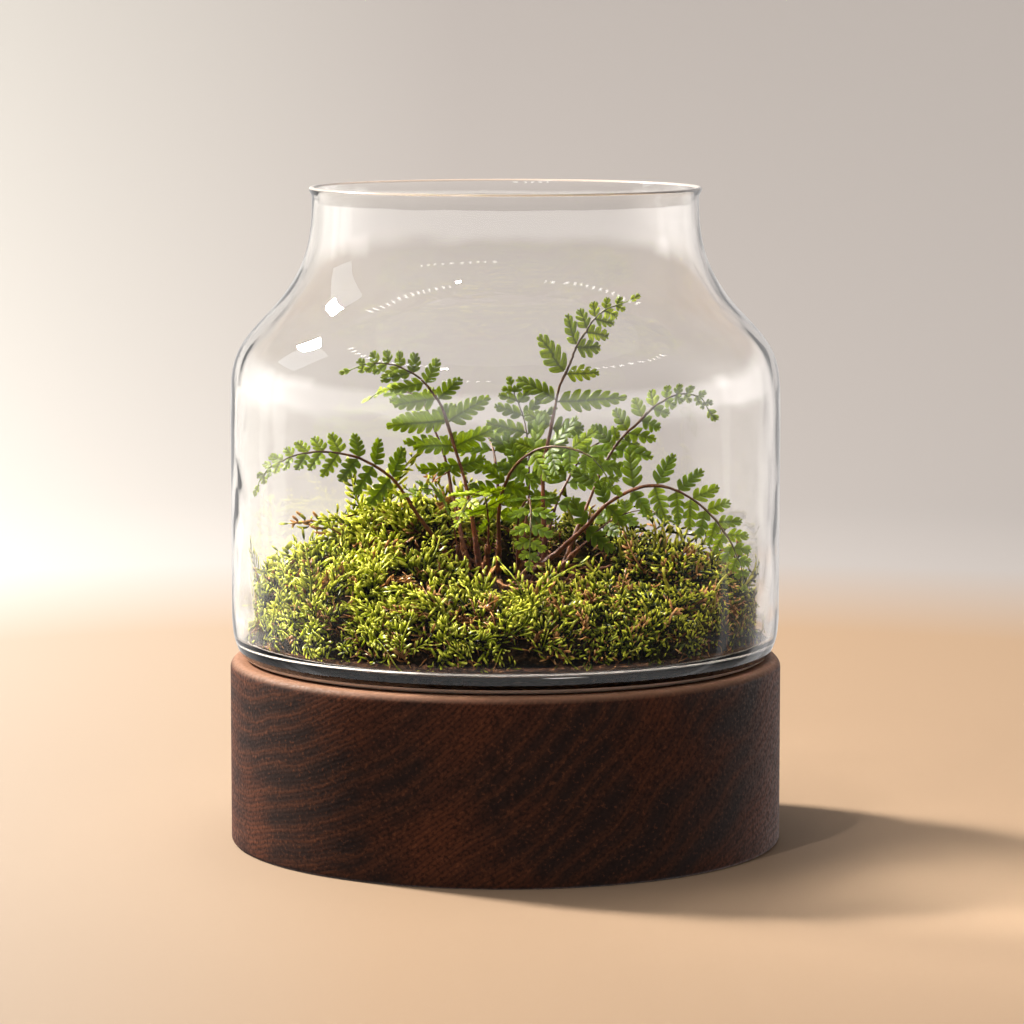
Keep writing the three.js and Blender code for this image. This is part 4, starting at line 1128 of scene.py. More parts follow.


# Fern. Each frond has the route of its stalk from the crown to the tip, the way its upper side
# looks, its pairs of leaflets (how far along the stalk, and how long on the left and right), and how
# light its green is. That lightness is partly the frond's own tone and partly painted light: a frond
# lit from behind is given a paler green, and one in the shaded middle a darker green.
FRONDS = {
    "frond_left_low": {
        "route": [[-10.8, -3, 56], [-16.6, -5, 64.6], [-22.8, -7, 73.2], [-31.9, -8.5, 78], [-42.1, -9, 77.6],
                  [-46.8, -8.6, 75], [-48.6, -8, 71.5]],
        "face": [-0.1, -0.62, 0.78],
        "pairs": [[0.41, 8.6, 8.6], [0.49, 8.8, 7.6], [0.56, 7.4, 6.6], [0.63, 7, 5.8], [0.695, 5.4, 5],
                  [0.755, 4.6, 4.2], [0.81, 3.7, 3.4], [0.86, 2.9, 2.8], [0.905, 2.2, 2.2], [0.95, 1.5, 1.6]],
        "tint": 0.55,
    },
    "frond_left_high": {
        "route": [[-5.5, 0.5, 57], [-8.1, 3, 70.8], [-10.1, 5, 78], [-12.9, 7, 85.5], [-18.8, 9, 92.6],
                  [-26.5, 10.5, 94.9], [-31.6, 11, 93]],
        "face": [0.1, -0.8, 0.5],
        "pairs": [[0.343, 4, 5.2], [0.42, 8, 8.4], [0.51, 12, 9.8], [0.597, 8.6, 7.2], [0.675, 7, 6.6],
                  [0.743, 6.4, 4.4], [0.79, 4.6, 3.5], [0.845, 3.6, 2.8], [0.89, 2.8, 2.3], [0.935, 2, 1.8]],
        "tint": 0.5,
    },
    "frond_back_left": {
        "route": [[-8, 3.6, 57], [-10.8, 9, 68.7], [-14, 15, 80], [-18, 20, 86], [-24, 25, 87.5],
                  [-28.5, 28, 85]],
        "face": [0.15, -0.55, 0.8],
        "pairs": [[0.36, 5.6, 5.4], [0.48, 7.4, 7], [0.59, 7, 6.6], [0.69, 6, 5.4], [0.78, 4.6, 4.2],
                  [0.86, 3.2, 3], [0.925, 2, 2]],
        "tint": 0.62,
    },
    "frond_left_short": {
        "route": [[-8.7, -5, 56.2], [-10.8, -7.4, 65.4], [-12.8, -10, 70], [-15.6, -12, 71.6],
                  [-18.9, -13.4, 70.6]],
        "face": [-0.1, -0.45, 0.88],
        "pairs": [[0.56, 5.2, 4.4], [0.7, 4.4, 3.8], [0.82, 3, 2.8], [0.92, 1.8, 1.8]],
        "tint": 0.35,
    },
    "frond_tall": {
        "route": [[8, 1, 56.6], [7.6, 4, 72.3], [9.2, 6, 81.3], [11, 7, 89.5], [14.2, 7, 97.3],
                  [19.1, 6, 103.6], [25, 4.4, 106.8]],
        "face": [-0.25, -0.85, 0.4],
        "pairs": [[0.36, 7, 6.6], [0.45, 6.4, 6.6], [0.54, 9.8, 14], [0.655, 8.8, 6.8], [0.745, 5.8, 4.8],
                  [0.8, 4.2, 5], [0.855, 3.2, 4.2], [0.9, 2.6, 3], [0.945, 1.9, 2.2]],
        # The paler green of this frond is partly painted light, as it is lit from behind.
        "tint": 0.7,
    },
    "frond_middle": {
        "route": [[3.5, 4, 57.4], [4.8, 8, 68], [4.8, 11, 77.3], [3.4, 13, 83.4], [1.2, 14.4, 89.6]],
        "face": [-0.1, -0.82, 0.45],
        "pairs": [[0.19, 5, 5], [0.3, 6.4, 6.2], [0.43, 8, 7.6], [0.57, 8.8, 8], [0.7, 8.4, 7.6],
                  [0.8, 5.8, 5.4], [0.88, 4, 3.8], [0.945, 2.4, 2.4]],
        # The darker green of this frond is partly painted shade, as it stands in the shaded middle.
        "tint": 0.3,
    },
    "frond_right_high": {
        "route": [[12.2, 3, 56.2], [16, 7, 65.1], [21.1, 11, 75.8], [27.3, 14, 82.4], [34.6, 15, 87],
                  [39.6, 15, 86.4], [41.6, 14, 84]],
        "face": [-0.2, -0.75, 0.55],
        "pairs": [[0.33, 5.8, 5.4], [0.41, 6.8, 6.4], [0.5, 6.6, 8], [0.59, 5.8, 6], [0.66, 4.8, 4.6],
                  [0.73, 3.8, 3.6], [0.785, 3, 2.8], [0.83, 2.5, 2.3], [0.875, 2.1, 2], [0.92, 1.8, 1.7],
                  [0.96, 1.4, 1.3]],
        "tint": 0.5,
    },
    "frond_right_low": {
        "route": [[8.6, -3.6, 56.4], [15.7, -6, 63.2], [20.5, -8, 68.2], [27, -9, 71.7], [33.8, -10, 70.9],
                  [41.5, -11, 65], [45.9, -12, 56.5], [46.8, -12, 52.4]],
        "face": [0.15, -0.8, 0.5],
        "pairs": [[0.19, 6, 7.4], [0.3, 5.4, 5.6], [0.41, 8.2, 6.2], [0.493, 7.8, 7], [0.569, 7.2, 7],
                  [0.634, 6.2, 6.4], [0.695, 5.4, 6], [0.752, 4.8, 5.4], [0.805, 4.3, 4.5], [0.855, 3.6, 3.6],
                  [0.9, 2.8, 2.9], [0.945, 1.9, 2]],
        "tint": 0.38,
    },
    "frond_front_right": {
        "route": [[-1.4, -2.4, 57], [-0.9, -8, 69], [2.3, -13, 76.5], [8.5, -18, 80.4], [16.4, -24, 79],
                  [21, -27.5, 73.4]],
        "face": [0.02, -0.86, 0.5],
        "pairs": [[0.2, 3.6, 3.8], [0.27, 4.6, 4.6], [0.34, 5.4, 5.4], [0.45, 7, 6.8], [0.555, 7.8, 7.4],
                  [0.65, 7.2, 7], [0.74, 6, 5.8], [0.82, 4.8, 4.6], [0.89, 3.4, 3.4], [0.945, 2.2, 2.2]],
        "tint": 0.4,
    },
    "frond_front": {
        "route": [[2.6, -6, 56.2], [2.8, -12, 66.4], [4.6, -18, 70.2], [5, -26, 66.4], [4.6, -31, 59.4]],
        "face": [0, -0.4, 0.9],
        "pairs": [[0.35, 4.6, 3.8], [0.515, 5.2, 4.6], [0.665, 5.2, 4.8], [0.785, 4.6, 4.2],
                  [0.875, 3.4, 3.3], [0.945, 2.2, 2.2]],
        "tint": 0.35,
    },
    "frond_front_left": {
        "route": [[-3.8, -5.6, 56.4], [-3.4, -9.6, 66], [-4.4, -14.4, 71], [-6.6, -19.2, 70.8],
                  [-9, -23.8, 66.6]],
        "face": [-0.2, -0.35, 0.9],
        "pairs": [[0.3, 3, 4], [0.42, 4, 5], [0.56, 4.6, 5.8], [0.7, 4.2, 5.2], [0.82, 3.2, 3.8],
                  [0.92, 2.2, 2.4]],
        "tint": 0.75,
    },
    "frond_right_short": {
        "route": [[12.2, -2, 56], [17, -1.4, 60.8], [22.5, -0.4, 64.6], [28.5, 0.6, 65.6], [33, 1.2, 63.6]],
        "face": [0.1, -0.35, 0.9],
        "pairs": [[0.44, 5, 4.6], [0.6, 5.4, 5], [0.74, 4.4, 4.2], [0.86, 3, 3], [0.94, 2, 2]],
        "tint": 0.3,
    },
    "frond_back_right": {
        "route": [[7.4, 5.8, 57], [9.8, 10, 64], [13, 14.6, 71], [17.6, 19.6, 76.4], [23.4, 24.4, 78],
                  [27.6, 27.4, 75.6]],
        "face": [-0.1, -0.62, 0.78],
        "pairs": [[0.28, 6.4, 6.2], [0.41, 8, 7.6], [0.53, 8.2, 7.8], [0.64, 7, 6.6], [0.74, 5.6, 5.4],
                  [0.83, 4.4, 4.2], [0.905, 3, 3], [0.955, 2, 2]],
        "tint": 0.4,
    },
    "frond_back": {
        "route": [[-1.6, 6, 57], [-1.4, 11.6, 67], [-2.4, 18, 75], [-4.4, 25.4, 79], [-7, 32.6, 78],
                  [-8.6, 37, 74.4]],
        "face": [0, -0.5, 0.85],
        "pairs": [[0.3, 6, 6], [0.42, 7.6, 7.6], [0.53, 7.8, 7.8], [0.64, 6.8, 6.8], [0.74, 5.6, 5.6],
                  [0.83, 4.4, 4.4], [0.905, 3, 3], [0.955, 2, 2]],
        "tint": 0.45,
    },
}

STALK_DEPTH = 4.4
STALK_RINGS = 70
# The stalk's radius along its length. A stalk shorter than FULL_LENGTH is thinner.
STALK_RADII = ([0, 0.12, 0.35, 0.8, 1], [0.58, 0.52, 0.38, 0.22, 0.12])
FULL_LENGTH = 62
LEAFLET_ANGLE_LOW = 84
LEAFLET_ANGLE_HIGH = 48
LEAFLET_DROOP = 0.007
ALTERNATE = 0.35
LOBE_ANGLE_LOW = 70
LOBE_ANGLE_HIGH = 38
LOBE_FIRST = 0.05
LOBE_LAST = 0.86
BLADE_THICKNESS = 0.16
LOBE_FAN = 0.12
# Across one lobe: where its rows of points lie, from 0 at the notch below it to 1 at the next notch, and
# how far the outline stands out of the notch there. TIP_... is the same for the lobe at a leaflet's end.
LOBE_PHASES = np.array([0.0, 0.1, 0.24, 0.5, 0.76, 0.9])
LOBE_OUTLINE = np.array([0.0, 0.5, 0.87, 1.0, 0.9, 0.54])
TIP_PHASES = np.array([0.0, 0.16, 0.4, 0.7, 0.9, 1.0])
TIP_OUTLINE = np.array([0.0, 0.6, 1.0, 0.9, 0.6, 0.0])
BLADE_COLUMNS = np.array([0.0, 0.22, 0.5, 0.78, 0.94, 1.0])


class Stalk:
    """A smooth curve through a frond's route, with a straight end that stands in the crown."""

    SAMPLES = 60

    def __init__(self, route, face):
        route = np.asarray(route, float)
        root = route[0] + STALK_DEPTH * unit(route[0] - route[1])
        knots = np.vstack([root, route])
        ends = lengthened(knots)
        points = []
        for i in range(len(knots) - 1):
            a, b, c, d = ends[i:i + 4]
            first, middle, last = (np.linalg.norm(step) ** 0.5 for step in (b - a, c - b, d - c))
            leave = ((b - a) / first - (c - a) / (first + middle) + (c - b) / middle) * middle
            arrive = ((c - b) / middle - (d - b) / (middle + last) + (d - c) / last) * middle
            for t in np.arange(self.SAMPLES) / self.SAMPLES:
                points.append(b + leave * t + (-3 * b + 3 * c - 2 * leave - arrive) * t**2
                              + (2 * b - 2 * c + leave + arrive) * t**3)
        points.append(knots[-1])
        self.points = np.array(points)
        gone = gone_along(self.points)
        self.length = gone[-1]
        self.shares = gone / self.length
        self.root_share = STALK_DEPTH / self.length
        self.face = np.asarray(face, float)

    def at(self, share):
        return np.stack([np.interp(share, self.shares, self.points[:, i]) for i in range(3)], -1)

    def frame(self, share):
        """The point at a share of the length, with the ways along, up and left there."""
        along = unit(self.at(min(share + 0.004, 1)) - self.at(max(share - 0.004, 0)))
        up = unit(self.face - along * np.dot(self.face, along))
        return self.at(share), along, up, np.cross(up, along)


def leaflet(gather, base, out, across, up, length, width, droop, tint, chance):
    """One leaflet: a thin closed blade, cut into rounded puffed lobes on both sides of its midrib."""
    pairs = int(np.clip(round(0.8 + 0.42 * length), 2, 6))
    start, end = LOBE_FIRST * length, LOBE_LAST * length
    pitch = (end - start) / pairs
    phase = np.concatenate([np.tile(LOBE_PHASES, pairs), TIP_PHASES])
    outline = np.concatenate([np.tile(LOBE_OUTLINE, pairs), TIP_OUTLINE])
    number = np.concatenate([np.repeat(np.arange(pairs), len(LOBE_PHASES)), np.full(len(TIP_PHASES), pairs)])
    is_tip = number == pairs
    place = np.where(is_tip, end + phase * (length - end), start + (number + phase) * pitch)
    share = place / length
    angle = np.radians(LOBE_ANGLE_LOW + (LOBE_ANGLE_HIGH - LOBE_ANGLE_LOW) * share)
    web = 0.1 + 0.36 * share
    full = width * np.minimum(1, 0.84 + 0.5 * share) * (1 - share**1.8) ** 0.8 + 0.22
    closed = np.ones(len(place))
    closed[[0, -1]] = 0.0
    half_lobe = 0.5 * pitch * np.sin(angle)
    aside = np.abs(2 * phase - 1)
    puff = half_lobe * (1.7 * aside * (1 - aside) - 0.34 * aside**2)
    cup = chance.uniform(0.02, 0.16)
    for side in (1, -1):
        by_lobe = chance.uniform(0.88, 1.1, pairs + 1)[number]
        tilt = chance.uniform(0.0, 0.5, pairs + 1)[number]
        rise = chance.uniform(-0.16, 0.12, pairs + 1)[number]
        shade = chance.uniform(-0.08, 0.08, pairs + 1)[number]
        reach = closed * full / np.sin(angle) * (web + (1 - web) * outline * by_lobe)
        far = reach[:, None] * BLADE_COLUMNS
        fan = (outline * (phase - 0.5) * pitch)[:, None] * LOBE_FAN * BLADE_COLUMNS**2
        forward = place[:, None] + far * np.cos(angle)[:, None] + 0.03 * far**2 + fan
        beside = side * far * np.sin(angle)[:, None]
        lift = cup * far - 0.6 * cup * far**2 / width
        lift += (puff * closed)[:, None] * np.minimum(1, BLADE_COLUMNS / 0.3)
        lift += (outline * tilt * (phase - 0.5) * pitch)[:, None] * BLADE_COLUMNS**2
        lift += (outline * rise)[:, None] * far * BLADE_COLUMNS - droop * forward**2
        top = base + forward[..., None] * out + beside[..., None] * across + lift[..., None] * up
        belly = BLADE_THICKNESS * closed[:, None] * (1 - BLADE_COLUMNS**2)
        rows, columns = far.shape
        starts = [r * columns + c for r in range(rows - 1) for c in range(columns - 1)]
        quads = [[a, a + columns, a + columns + 1, a + 1] for a in starts]
        values = {
            "rib": (far * np.sin(angle)[:, None]).ravel(),
            "vein": np.repeat(aside * half_lobe, columns),
            "edge": np.tile(BLADE_COLUMNS, rows),
            "tint": np.repeat(tint + shade, columns),
        }
        for surface in (top, top - belly[..., None] * up):
            gather.add(surface.reshape(-1, 3), quads, **values)
    steps = np.linspace(0, 0.9 * length, 7)
    line = base + steps[:, None] * out - (droop * steps**2 + 0.13)[:, None] * up
    points, faces = tube(line, np.linspace(0.2, 0.1, len(line)), 4)
    gather.add(points, faces, rib=0.0, vein=0.0, edge=0.0, tint=tint)


def make_frond(name, plan, seed):
    chance = np.random.default_rng(seed)
    stalk = Stalk(plan["route"], plan["face"])
    gather = Gather("rib", "vein", "edge", "tint", "reach")
    shares = np.linspace(0, 1, STALK_RINGS)
    thickness = min(1.0, stalk.length / FULL_LENGTH)
    radii = thickness * np.interp(shares, *STALK_RADII)
    path = stalk.at(shares)
    points, faces = tube(path, radii, 8)
    points = points + 0.09 * np.stack([roughness_at(points, 1.1, seed + k) for k in range(3)], 1)
    gather.add(points, faces, finish=1, reach=along_tube(path, 8))
    pairs = plan["pairs"]
    first = pairs[0][0]
    visible = (1 - stalk.root_share) * stalk.length
    for i, (where, left_length, right_length) in enumerate(pairs):
        before = pairs[i - 1][0] if i else 0
        after = pairs[i + 1][0] if i + 1 < len(pairs) else 1
        room = visible * min(where - before, after - where)
        share = stalk.root_share + (1 - stalk.root_share) * where
        place, along, up, left = stalk.frame(share)
        high = (where - first) / (1 - first)
        for side, length in ((1, left_length), (-1, right_length)):
            angle = LEAFLET_ANGLE_LOW + (LEAFLET_ANGLE_HIGH - LEAFLET_ANGLE_LOW) * high
            angle = math.radians(angle + chance.uniform(-4, 4))
            out = math.cos(angle) * along + side * math.sin(angle) * left
            across = math.sin(angle) * along - side * math.cos(angle) * left
            roll = chance.uniform(-0.16, 0.16)
            rolled_up = math.cos(roll) * up + math.sin(roll) * across
            rolled_across = math.cos(roll) * across - math.sin(roll) * up
            base = place + side * ALTERNATE / 2 * along
            width = min(0.38 * length, 0.95 + 0.13 * length, 0.47 * room)
            droop = LEAFLET_DROOP * chance.uniform(0.6, 1.6)
            tint = plan["tint"] + 0.3 * high + chance.uniform(-0.22, 0.18)
            leaflet(gather, base, out, rolled_across, rolled_up, length, width, droop, tint, chance)
    place, along, up, left = stalk.frame(1.0)
    leaflet(gather, place - 0.4 * along, along, left, up, 2.3, 0.75, 0.0, plan["tint"] + 0.35, chance)
    piece = gather.piece(name.replace("frond", "fern"), [fern_leaf, fern_stalk], merge=1e-3)
    settle(piece, "fern_leaf", name)


# Crown: knotty rootstock, leaf bases, old stubs, scales and wiry roots

ROOTS = [
    [[-1, -2.4, 52], [-1.4, -8, 52.6], [0.6, -11.4, 52.2], [3, -12.0, 54.6], [5.4, -12, 56],
     [8.2, -10.6, 55.8], [11, -8.4, 53.6]],
    [[-6, -1, 54], [-11, -5, 55.6], [-14.6, -6.4, 54.4], [-18, -7, 54]],
    [[9, 0, 54], [14, -2.4, 55.2], [17.4, -4, 54.2], [21, -5.4, 55.4]],
    [[-4, 3, 54], [-9, 6.2, 56], [-13.4, 7.6, 55]],
    [[5, 2, 54], [10, 7, 55.8], [13.8, 8.6, 55]],
    [[2, -4, 54], [4, -8, 56.4], [8, -9, 56], [12, -7, 54]],
]

# How many lumps of rootstock, old stubs, scales on each leaf base and thin roots there are
CROWN_LUMPS = 16
CROWN_STUBS = 18
BASE_SCALES = 12
THIN_ROOTS = 60
BASE_LENGTH = 8.0
ROOT_LIMIT = 44


def make_crown():
    chance = np.random.default_rng(41)
    gather = Gather("age")

    def lump(centre, size, seed):
        ball = bmesh.new()
        bmesh.ops.create_icosphere(ball, subdivisions=3, radius=1.0)
        points = np.array([vert.co[:] for vert in ball.verts])
        faces = [[vert.index for vert in face.verts] for face in ball.faces]
        ball.free()
        swell = 1 + 0.35 * roughness_at(points * 3, 1.6, seed) + 0.2 * roughness_at(points * 3, 0.6, seed + 9)
        gather.add(centre + points * swell[:, None] * size, faces, age=0.1 + 0.2 * np.abs(swell - 1))

    def crooked_tube(path, radii, sides, age, rough, seed):
        points, faces = tube(path, radii, sides)
        shift = np.stack([roughness_at(points, 0.9, seed + k) for k in range(3)], 1)
        gather.add(points + rough * shift, faces, age=age)

    for i in range(CROWN_LUMPS):
        turn = i * GOLDEN_ANGLE
        share = math.sqrt((i + 0.5) / CROWN_LUMPS) * 0.82
        x, y = in_crown(share, turn)
        ground = float(soil_height(x, y))
        size = np.array([2.8, 2.3, 1.9]) * chance.uniform(0.75, 1.1)
        lump(np.array([x, y, ground + 0.8 + 1.3 * (1 - share)]), size, 60 + i)

    bases = []
    for i, plan in enumerate(FRONDS.values()):
        stalk = Stalk(plan["route"], plan["face"])
        path = stalk.at(np.linspace(0.01, BASE_LENGTH / stalk.length, 10))
        bases.append(path)
        crooked_tube(path, np.linspace(0.8, 0.5, 10), 8, chance.uniform(0.28, 0.5), 0.3, 100 + 3 * i)

    for i in range(CROWN_STUBS):
        turn = i * GOLDEN_ANGLE + 0.6
        share = chance.uniform(0.15, 0.85)
        foot = np.array([*in_crown(share, turn), 0])
        foot[2] = float(soil_height(foot[0], foot[1])) + 1
        lean = np.array([0.7 * math.cos(turn), 0.7 * math.sin(turn), 1.0])
        length = chance.uniform(3, 7)
        path = foot + np.outer(np.linspace(0, length, 7), unit(lean))
        path[:, 0] += 0.5 * np.sin(np.linspace(0, 3, 7) + i)
        crooked_tube(path, np.linspace(0.6, 0.3, 7), 6, chance.uniform(0.3, 0.75), 0.25, 200 + i)

    for path in bases:
        for _ in range(BASE_SCALES):
            spot = path[chance.integers(1, len(path))]
            turn = chance.uniform(0, 2 * math.pi)
            way = np.array([math.cos(turn), math.sin(turn), chance.uniform(0.6, 2.2)])
            foot = spot + 0.4 * np.array([math.cos(turn), math.sin(turn), 0])
            points, faces = small_leaf(foot, way, [0, 0, 1], chance.uniform(0.9, 1.9), 0.36, -0.2)
            gather.add(points, faces, age=chance.uniform(0.35, 0.95))

    for i, route in enumerate(ROOTS):
        path = spline(route, 8)
        crooked_tube(path, np.linspace(0.36, 0.22, len(path)), 6, 0.75 if i == 0 else 0.55, 0.3, 300 + i)

    for i in range(THIN_ROOTS):
        turn = chance.uniform(0, 2 * math.pi)
        share = chance.uniform(0.1, 1.05)
        x, y = in_crown(share, turn)
        heading = chance.uniform(0, 2 * math.pi)
        length = chance.uniform(4, 11)
        steps = np.linspace(0, 1, 6)
        knots = np.stack([x + length * steps * math.cos(heading) + 0.8 * np.sin(steps * 5 + i),
                          y + length * steps * math.sin(heading) + 0.8 * np.cos(steps * 4 + i)], 1)
        inside = np.minimum(1, ROOT_LIMIT / np.maximum(np.hypot(knots[:, 0], knots[:, 1]), 1e-6))
        knots *= inside[:, None]
        lift = chance.uniform(1.2, 4.2) * np.sin(steps * math.pi) + 0.4
        heights = soil_height(knots[:, 0], knots[:, 1]) + lift + chance.uniform(0, 2.5) * (1 - share)
        path = spline(np.column_stack([knots, heights]), 4)
        crooked_tube(path, np.linspace(0.24, 0.12, len(path)), 5, chance.uniform(0.35, 1.0), 0.15, 400 + i)

    settle(gather.piece("fern_rootstock", [brown_root]), "rootstock", "fern_crown")


make_plinth()
make_jar()
make_soil()
make_moss()
make_crown()
for number, (frond_name, frond_plan) in enumerate(FRONDS.items()):
    make_frond(frond_name, frond_plan, 500 + number)


# Stage: a round sweep that the camera stands inside. It is warm round the jar and grey further out,
# and a little paler on the side that the light comes from.

SWEEP_RADIUS = 1000
SWEEP_BEND = 420
SWEEP_HEIGHT = 1500
SWEEP_MIDDLE = 200
SWEEP_SPOKES = 96
# Where the warm ground ends, in metres from the axis, and where the paler side starts and is full
WARM_TO_GREY = (0.3, 0.44)
PALER_SIDE = (-0.02, -0.2)
# The share of its colour that the sweep loses for light that has already bounced once
# What is mirrored sees the sweep fade to black from the first of these places to the second, in metres
# along Y, so that the glass doesn't veil the moss.
BOUNCE_LOSS = 0.65
DARK_FRONT = (0.2, -0.2)


def make_stage():
    finish = Finish("plain_ground", 0.75, Specular_IOR_Level=0.2)
    flat = finish.node("ShaderNodeVectorMath", {"operation": "MULTIPLY"}, in_0=finish.place(),
                       in_1=(1.0, 1.0, 0.0)).outputs[0]
    away = finish.node("ShaderNodeVectorMath", {"operation": "LENGTH"}, in_0=flat).outputs["Value"]
    warm, grey = WARM_TO_GREY
    plain = finish.ramp(away, (warm, srgb(144, 121, 99)), (grey, srgb(144, 140, 140)))
    by_window = finish.ramp(away, (warm, srgb(138, 132, 126)), (grey, srgb(160, 158, 157)))
    to_left = finish.share(finish.part_of(finish.place(), "X"), *PALER_SIDE)
    seen = finish.mix(to_left, plain, by_window)
    light_path = finish.node("ShaderNodeLightPath").outputs
    bounced = finish.maths("MULTIPLY", light_path["Diffuse Depth"], BOUNCE_LOSS, clamp=True)
    in_front = finish.share(finish.part_of(finish.place(), "Y"), *DARK_FRONT)
    mirrored = finish.maths("MULTIPLY", in_front, light_path["Glossy Depth"], clamp=True)
    finish.colour(finish.mix(finish.maths("MAXIMUM", bounced, mirrored), seen, srgb(0, 0, 0)))
    bend = arc(SWEEP_RADIUS - SWEEP_BEND, SWEEP_BEND, SWEEP_BEND, -90, 0, 24)
    profile = np.vstack([[[0, 0], [SWEEP_MIDDLE, 0]], bend, [[SWEEP_RADIUS, SWEEP_HEIGHT]]])
    spokes = SWEEP_SPOKES
    angles = round_turn(spokes)
    points = [[0, 0, 0]]
    for radius, level in profile[1:]:
        points.extend(zip(radius * np.cos(angles), radius * np.sin(angles), np.full(spokes, level)))
    faces = []
    for i in range(spokes):
        j = (i + 1) % spokes
        faces.append([0, 1 + i, 1 + j])
        for ring in range(len(profile) - 2):
            near = 1 + ring * spokes
            far = near + spokes
            faces.append([near + i, far + i, far + j, near + j])
    gather = Gather()
    gather.add(points, faces)
    sweep = gather.piece("plain_sweep", [finish.material])
    sweep.visible_glossy = False


# What the lamps look at: the middle of the plants
LAMP_AIM = (0, 0, 80)


def softbox(name, place, width, height, power, colour, mirrored=True):
    """A rectangular lamp that looks at the jar. The camera doesn't see it, and gloss mirrors it or not."""
    lamp = bpy.data.lights.new(name, "AREA")
    lamp.shape = "RECTANGLE"
    lamp.size = width * MM
    lamp.size_y = height * MM
    lamp.energy = power
    lamp.color = colour
    holder = bpy.data.objects.new(name, lamp)
    holder.location = Vector(place) * MM
    facing = Vector(LAMP_AIM) * MM - holder.location
    holder.rotation_euler = facing.to_track_quat("-Z", "Y").to_euler()
    holder.visible_camera = False
    holder.visible_transmission = False
    holder.visible_glossy = mirrored
    bpy.context.scene.collection.objects.link(holder)


# What gloss mirrors: soft-edged bright patches. Each has the turn of its middle from the back to the
# right, its half width, the height of its middle over the horizon and its half height, all in degrees,
# its softness in degrees, and its brightness.
ROOM_PATCHES = [
    (-72, 3.0, -15, 28, 4, 0.8), (-60, 1.5, -15, 28, 3, 0.6), (38, 7.0, -15, 28, 6, 0.5),
    (76, 1.2, -15, 28, 3, 0.6), (-108, 2.0, -15, 28, 4, 0.2),
    (-84, 4.0, 12, 2, 6, 2.0), (76, 3.0, 11, 2, 6, 2.0),
    (-108, 34, 50, 0.5, 1.2, 11.0), (116, 34, 46, 0.4, 1.2, 11.0), (-150, 26, 30, 0.3, 1.0, 8.0),
]
# A patch lower than STRING_LIMIT degrees is a string of small lamps, with STRING_BEADS in a turn's radian
STRING_LIMIT = 0.6
STRING_BEADS = 70.0
ROOM_COLOUR = (1.0, 0.97, 0.955, 1)
ROOM_DIM = 0.03
ROOM_BACK = 0.72
ROOM_FRONT_WALL = 4.2
ROOM_CEILING = 0.6
ROOM_GROUND = 1.0
# Where these parts begin and are full, by the way that a ray goes. BACK_FROM_FRONT is along Y,
# PATCHES_RIGHT along X and the rest along Z.
BACK_FROM_FRONT = (0.35, 0.9)
BACK_FROM_BELOW = (-0.6, -0.15)
FRONT_WALL_STARTS = (-0.09, -0.03)
FRONT_WALL_ENDS = (0.1, 0.3)
CEILING_STARTS = (0.15, 0.75)
GROUND_ENDS = (-0.7, -0.3)
# On the left no patch is mirrored between the ground and this height, so that none lies over the moss
PATCHES_START = (-0.15, -0.118)
PATCHES_RIGHT = (0.0, 0.1)


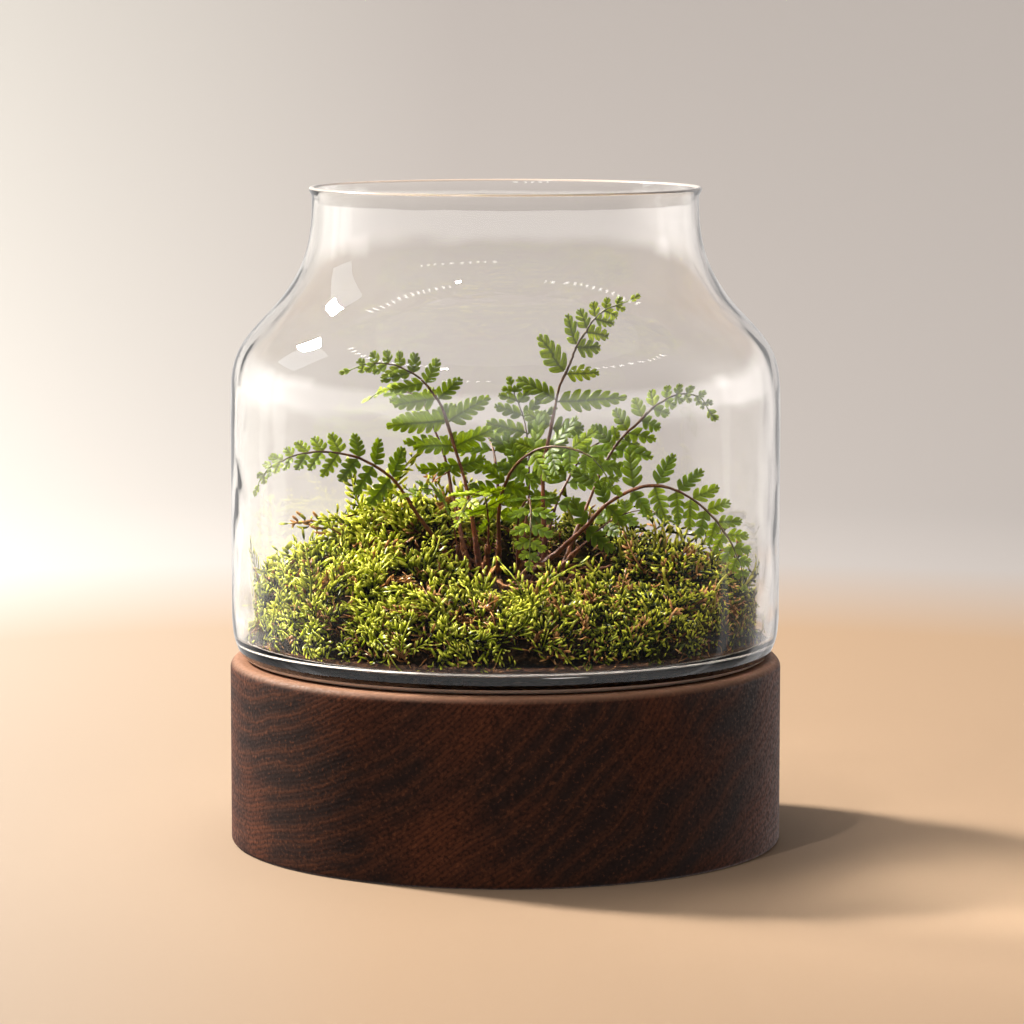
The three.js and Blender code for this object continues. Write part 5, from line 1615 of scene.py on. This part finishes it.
def make_room():
    """What gloss mirrors: bright at the back, dim in front but for one band, pale above and lit below."""
    world = bpy.data.worlds.new("soft_room")
    bpy.context.scene.world = world
    world.use_nodes = True
    room = NodeTree(world.node_tree)
    maths = room.maths

    def step(value, low, high):
        return room.share(value, low, high, "SMOOTHSTEP")

    def within(away, half, soft):
        """1 as far as half, then down to 0 over soft, both in degrees."""
        return maths("SUBTRACT", 1.0, step(away, math.radians(half), math.radians(half + soft)))

    way = room.node("ShaderNodeSeparateXYZ", Vector=room.node("ShaderNodeTexCoord").outputs["Generated"])
    east, north, up = (way.outputs[axis] for axis in "XYZ")
    turn = maths("ARCTAN2", east, north)
    height = maths("ARCSINE", up)
    back = maths("MULTIPLY", step(north, *BACK_FROM_FRONT), step(up, *BACK_FROM_BELOW))
    band = maths("SUBTRACT", step(up, *FRONT_WALL_STARTS), step(up, *FRONT_WALL_ENDS))
    front_wall = maths("MULTIPLY", maths("SUBTRACT", 1.0, back), band)
    ground = maths("SUBTRACT", 1.0, step(up, *GROUND_ENDS))
    light = maths("MULTIPLY_ADD", back, ROOM_BACK, ROOM_DIM)
    light = maths("MULTIPLY_ADD", front_wall, ROOM_FRONT_WALL, light)
    light = maths("MULTIPLY_ADD", step(up, *CEILING_STARTS), ROOM_CEILING, light)
    light = maths("MULTIPLY_ADD", ground, ROOM_GROUND, light)
    allowed = maths("MAXIMUM", step(up, *PATCHES_START), step(east, *PATCHES_RIGHT))
    allowed = maths("MAXIMUM", allowed, ground)
    for turn_right, half_turn, rise, half_rise, soft, brightness in ROOM_PATCHES:
        beside = maths("ABSOLUTE", maths("SUBTRACT", turn, math.radians(turn_right)))
        beside = maths("MINIMUM", beside, maths("SUBTRACT", 2 * math.pi, beside))
        above = maths("ABSOLUTE", maths("SUBTRACT", height, math.radians(rise)))
        patch = maths("MULTIPLY", within(beside, half_turn, soft), within(above, half_rise, soft))
        patch = maths("MULTIPLY", patch, allowed)
        if half_rise < STRING_LIMIT:
            beads = maths("SINE", maths("MULTIPLY", turn, STRING_BEADS))
            patch = maths("MULTIPLY", patch, maths("MAXIMUM", beads, 0.0))
        light = maths("MULTIPLY_ADD", patch, brightness, light)
    background = room.tree.nodes["Background"]
    room.feed(background.inputs["Strength"], light)
    background.inputs["Color"].default_value = ROOM_COLOUR


def make_light():
    make_room()
    softbox("sun_left", (-700, 380, 700), 110, 110, 37.0, (1.0, 0.94, 0.84))
    softbox("window_left", (-760, 260, 560), 260, 330, 0.55, (0.86, 0.93, 1.0))
    softbox("glint_front", (-330, -560, 760), 30, 30, 2.4, (1.0, 0.98, 0.95))
    softbox("fill_right", (700, 380, 420), 160, 500, 0.2, (1.0, 0.98, 0.96), mirrored=False)
    softbox("fill_front", (-300, -820, 560), 500, 350, 0.2, (1.0, 0.98, 0.96), mirrored=False)
    softbox("sky_above", (-60, 0, 1150), 600, 500, 0.9, (0.99, 0.99, 1.0), mirrored=False)


# The photograph's view: the camera's place in metres, how far it looks down in degrees, and its lens
CAMERA_PLACE = (0.00131, -0.8467, 0.1637)
CAMERA_DOWN = 6.618
CAMERA_LENS = 150.06


def make_camera():
    lens = bpy.data.cameras.new("front_view")
    lens.lens = CAMERA_LENS
    lens.sensor_width = 36
    lens.clip_start = 0.05
    lens.clip_end = 20
    holder = bpy.data.objects.new("front_view", lens)
    holder.location = CAMERA_PLACE
    holder.rotation_euler = (math.radians(90 - CAMERA_DOWN), 0, 0)
    bpy.context.scene.collection.objects.link(holder)
    bpy.context.scene.camera = holder


make_stage()
make_light()
make_camera()
bpy.context.scene.view_settings.view_transform = "Standard"
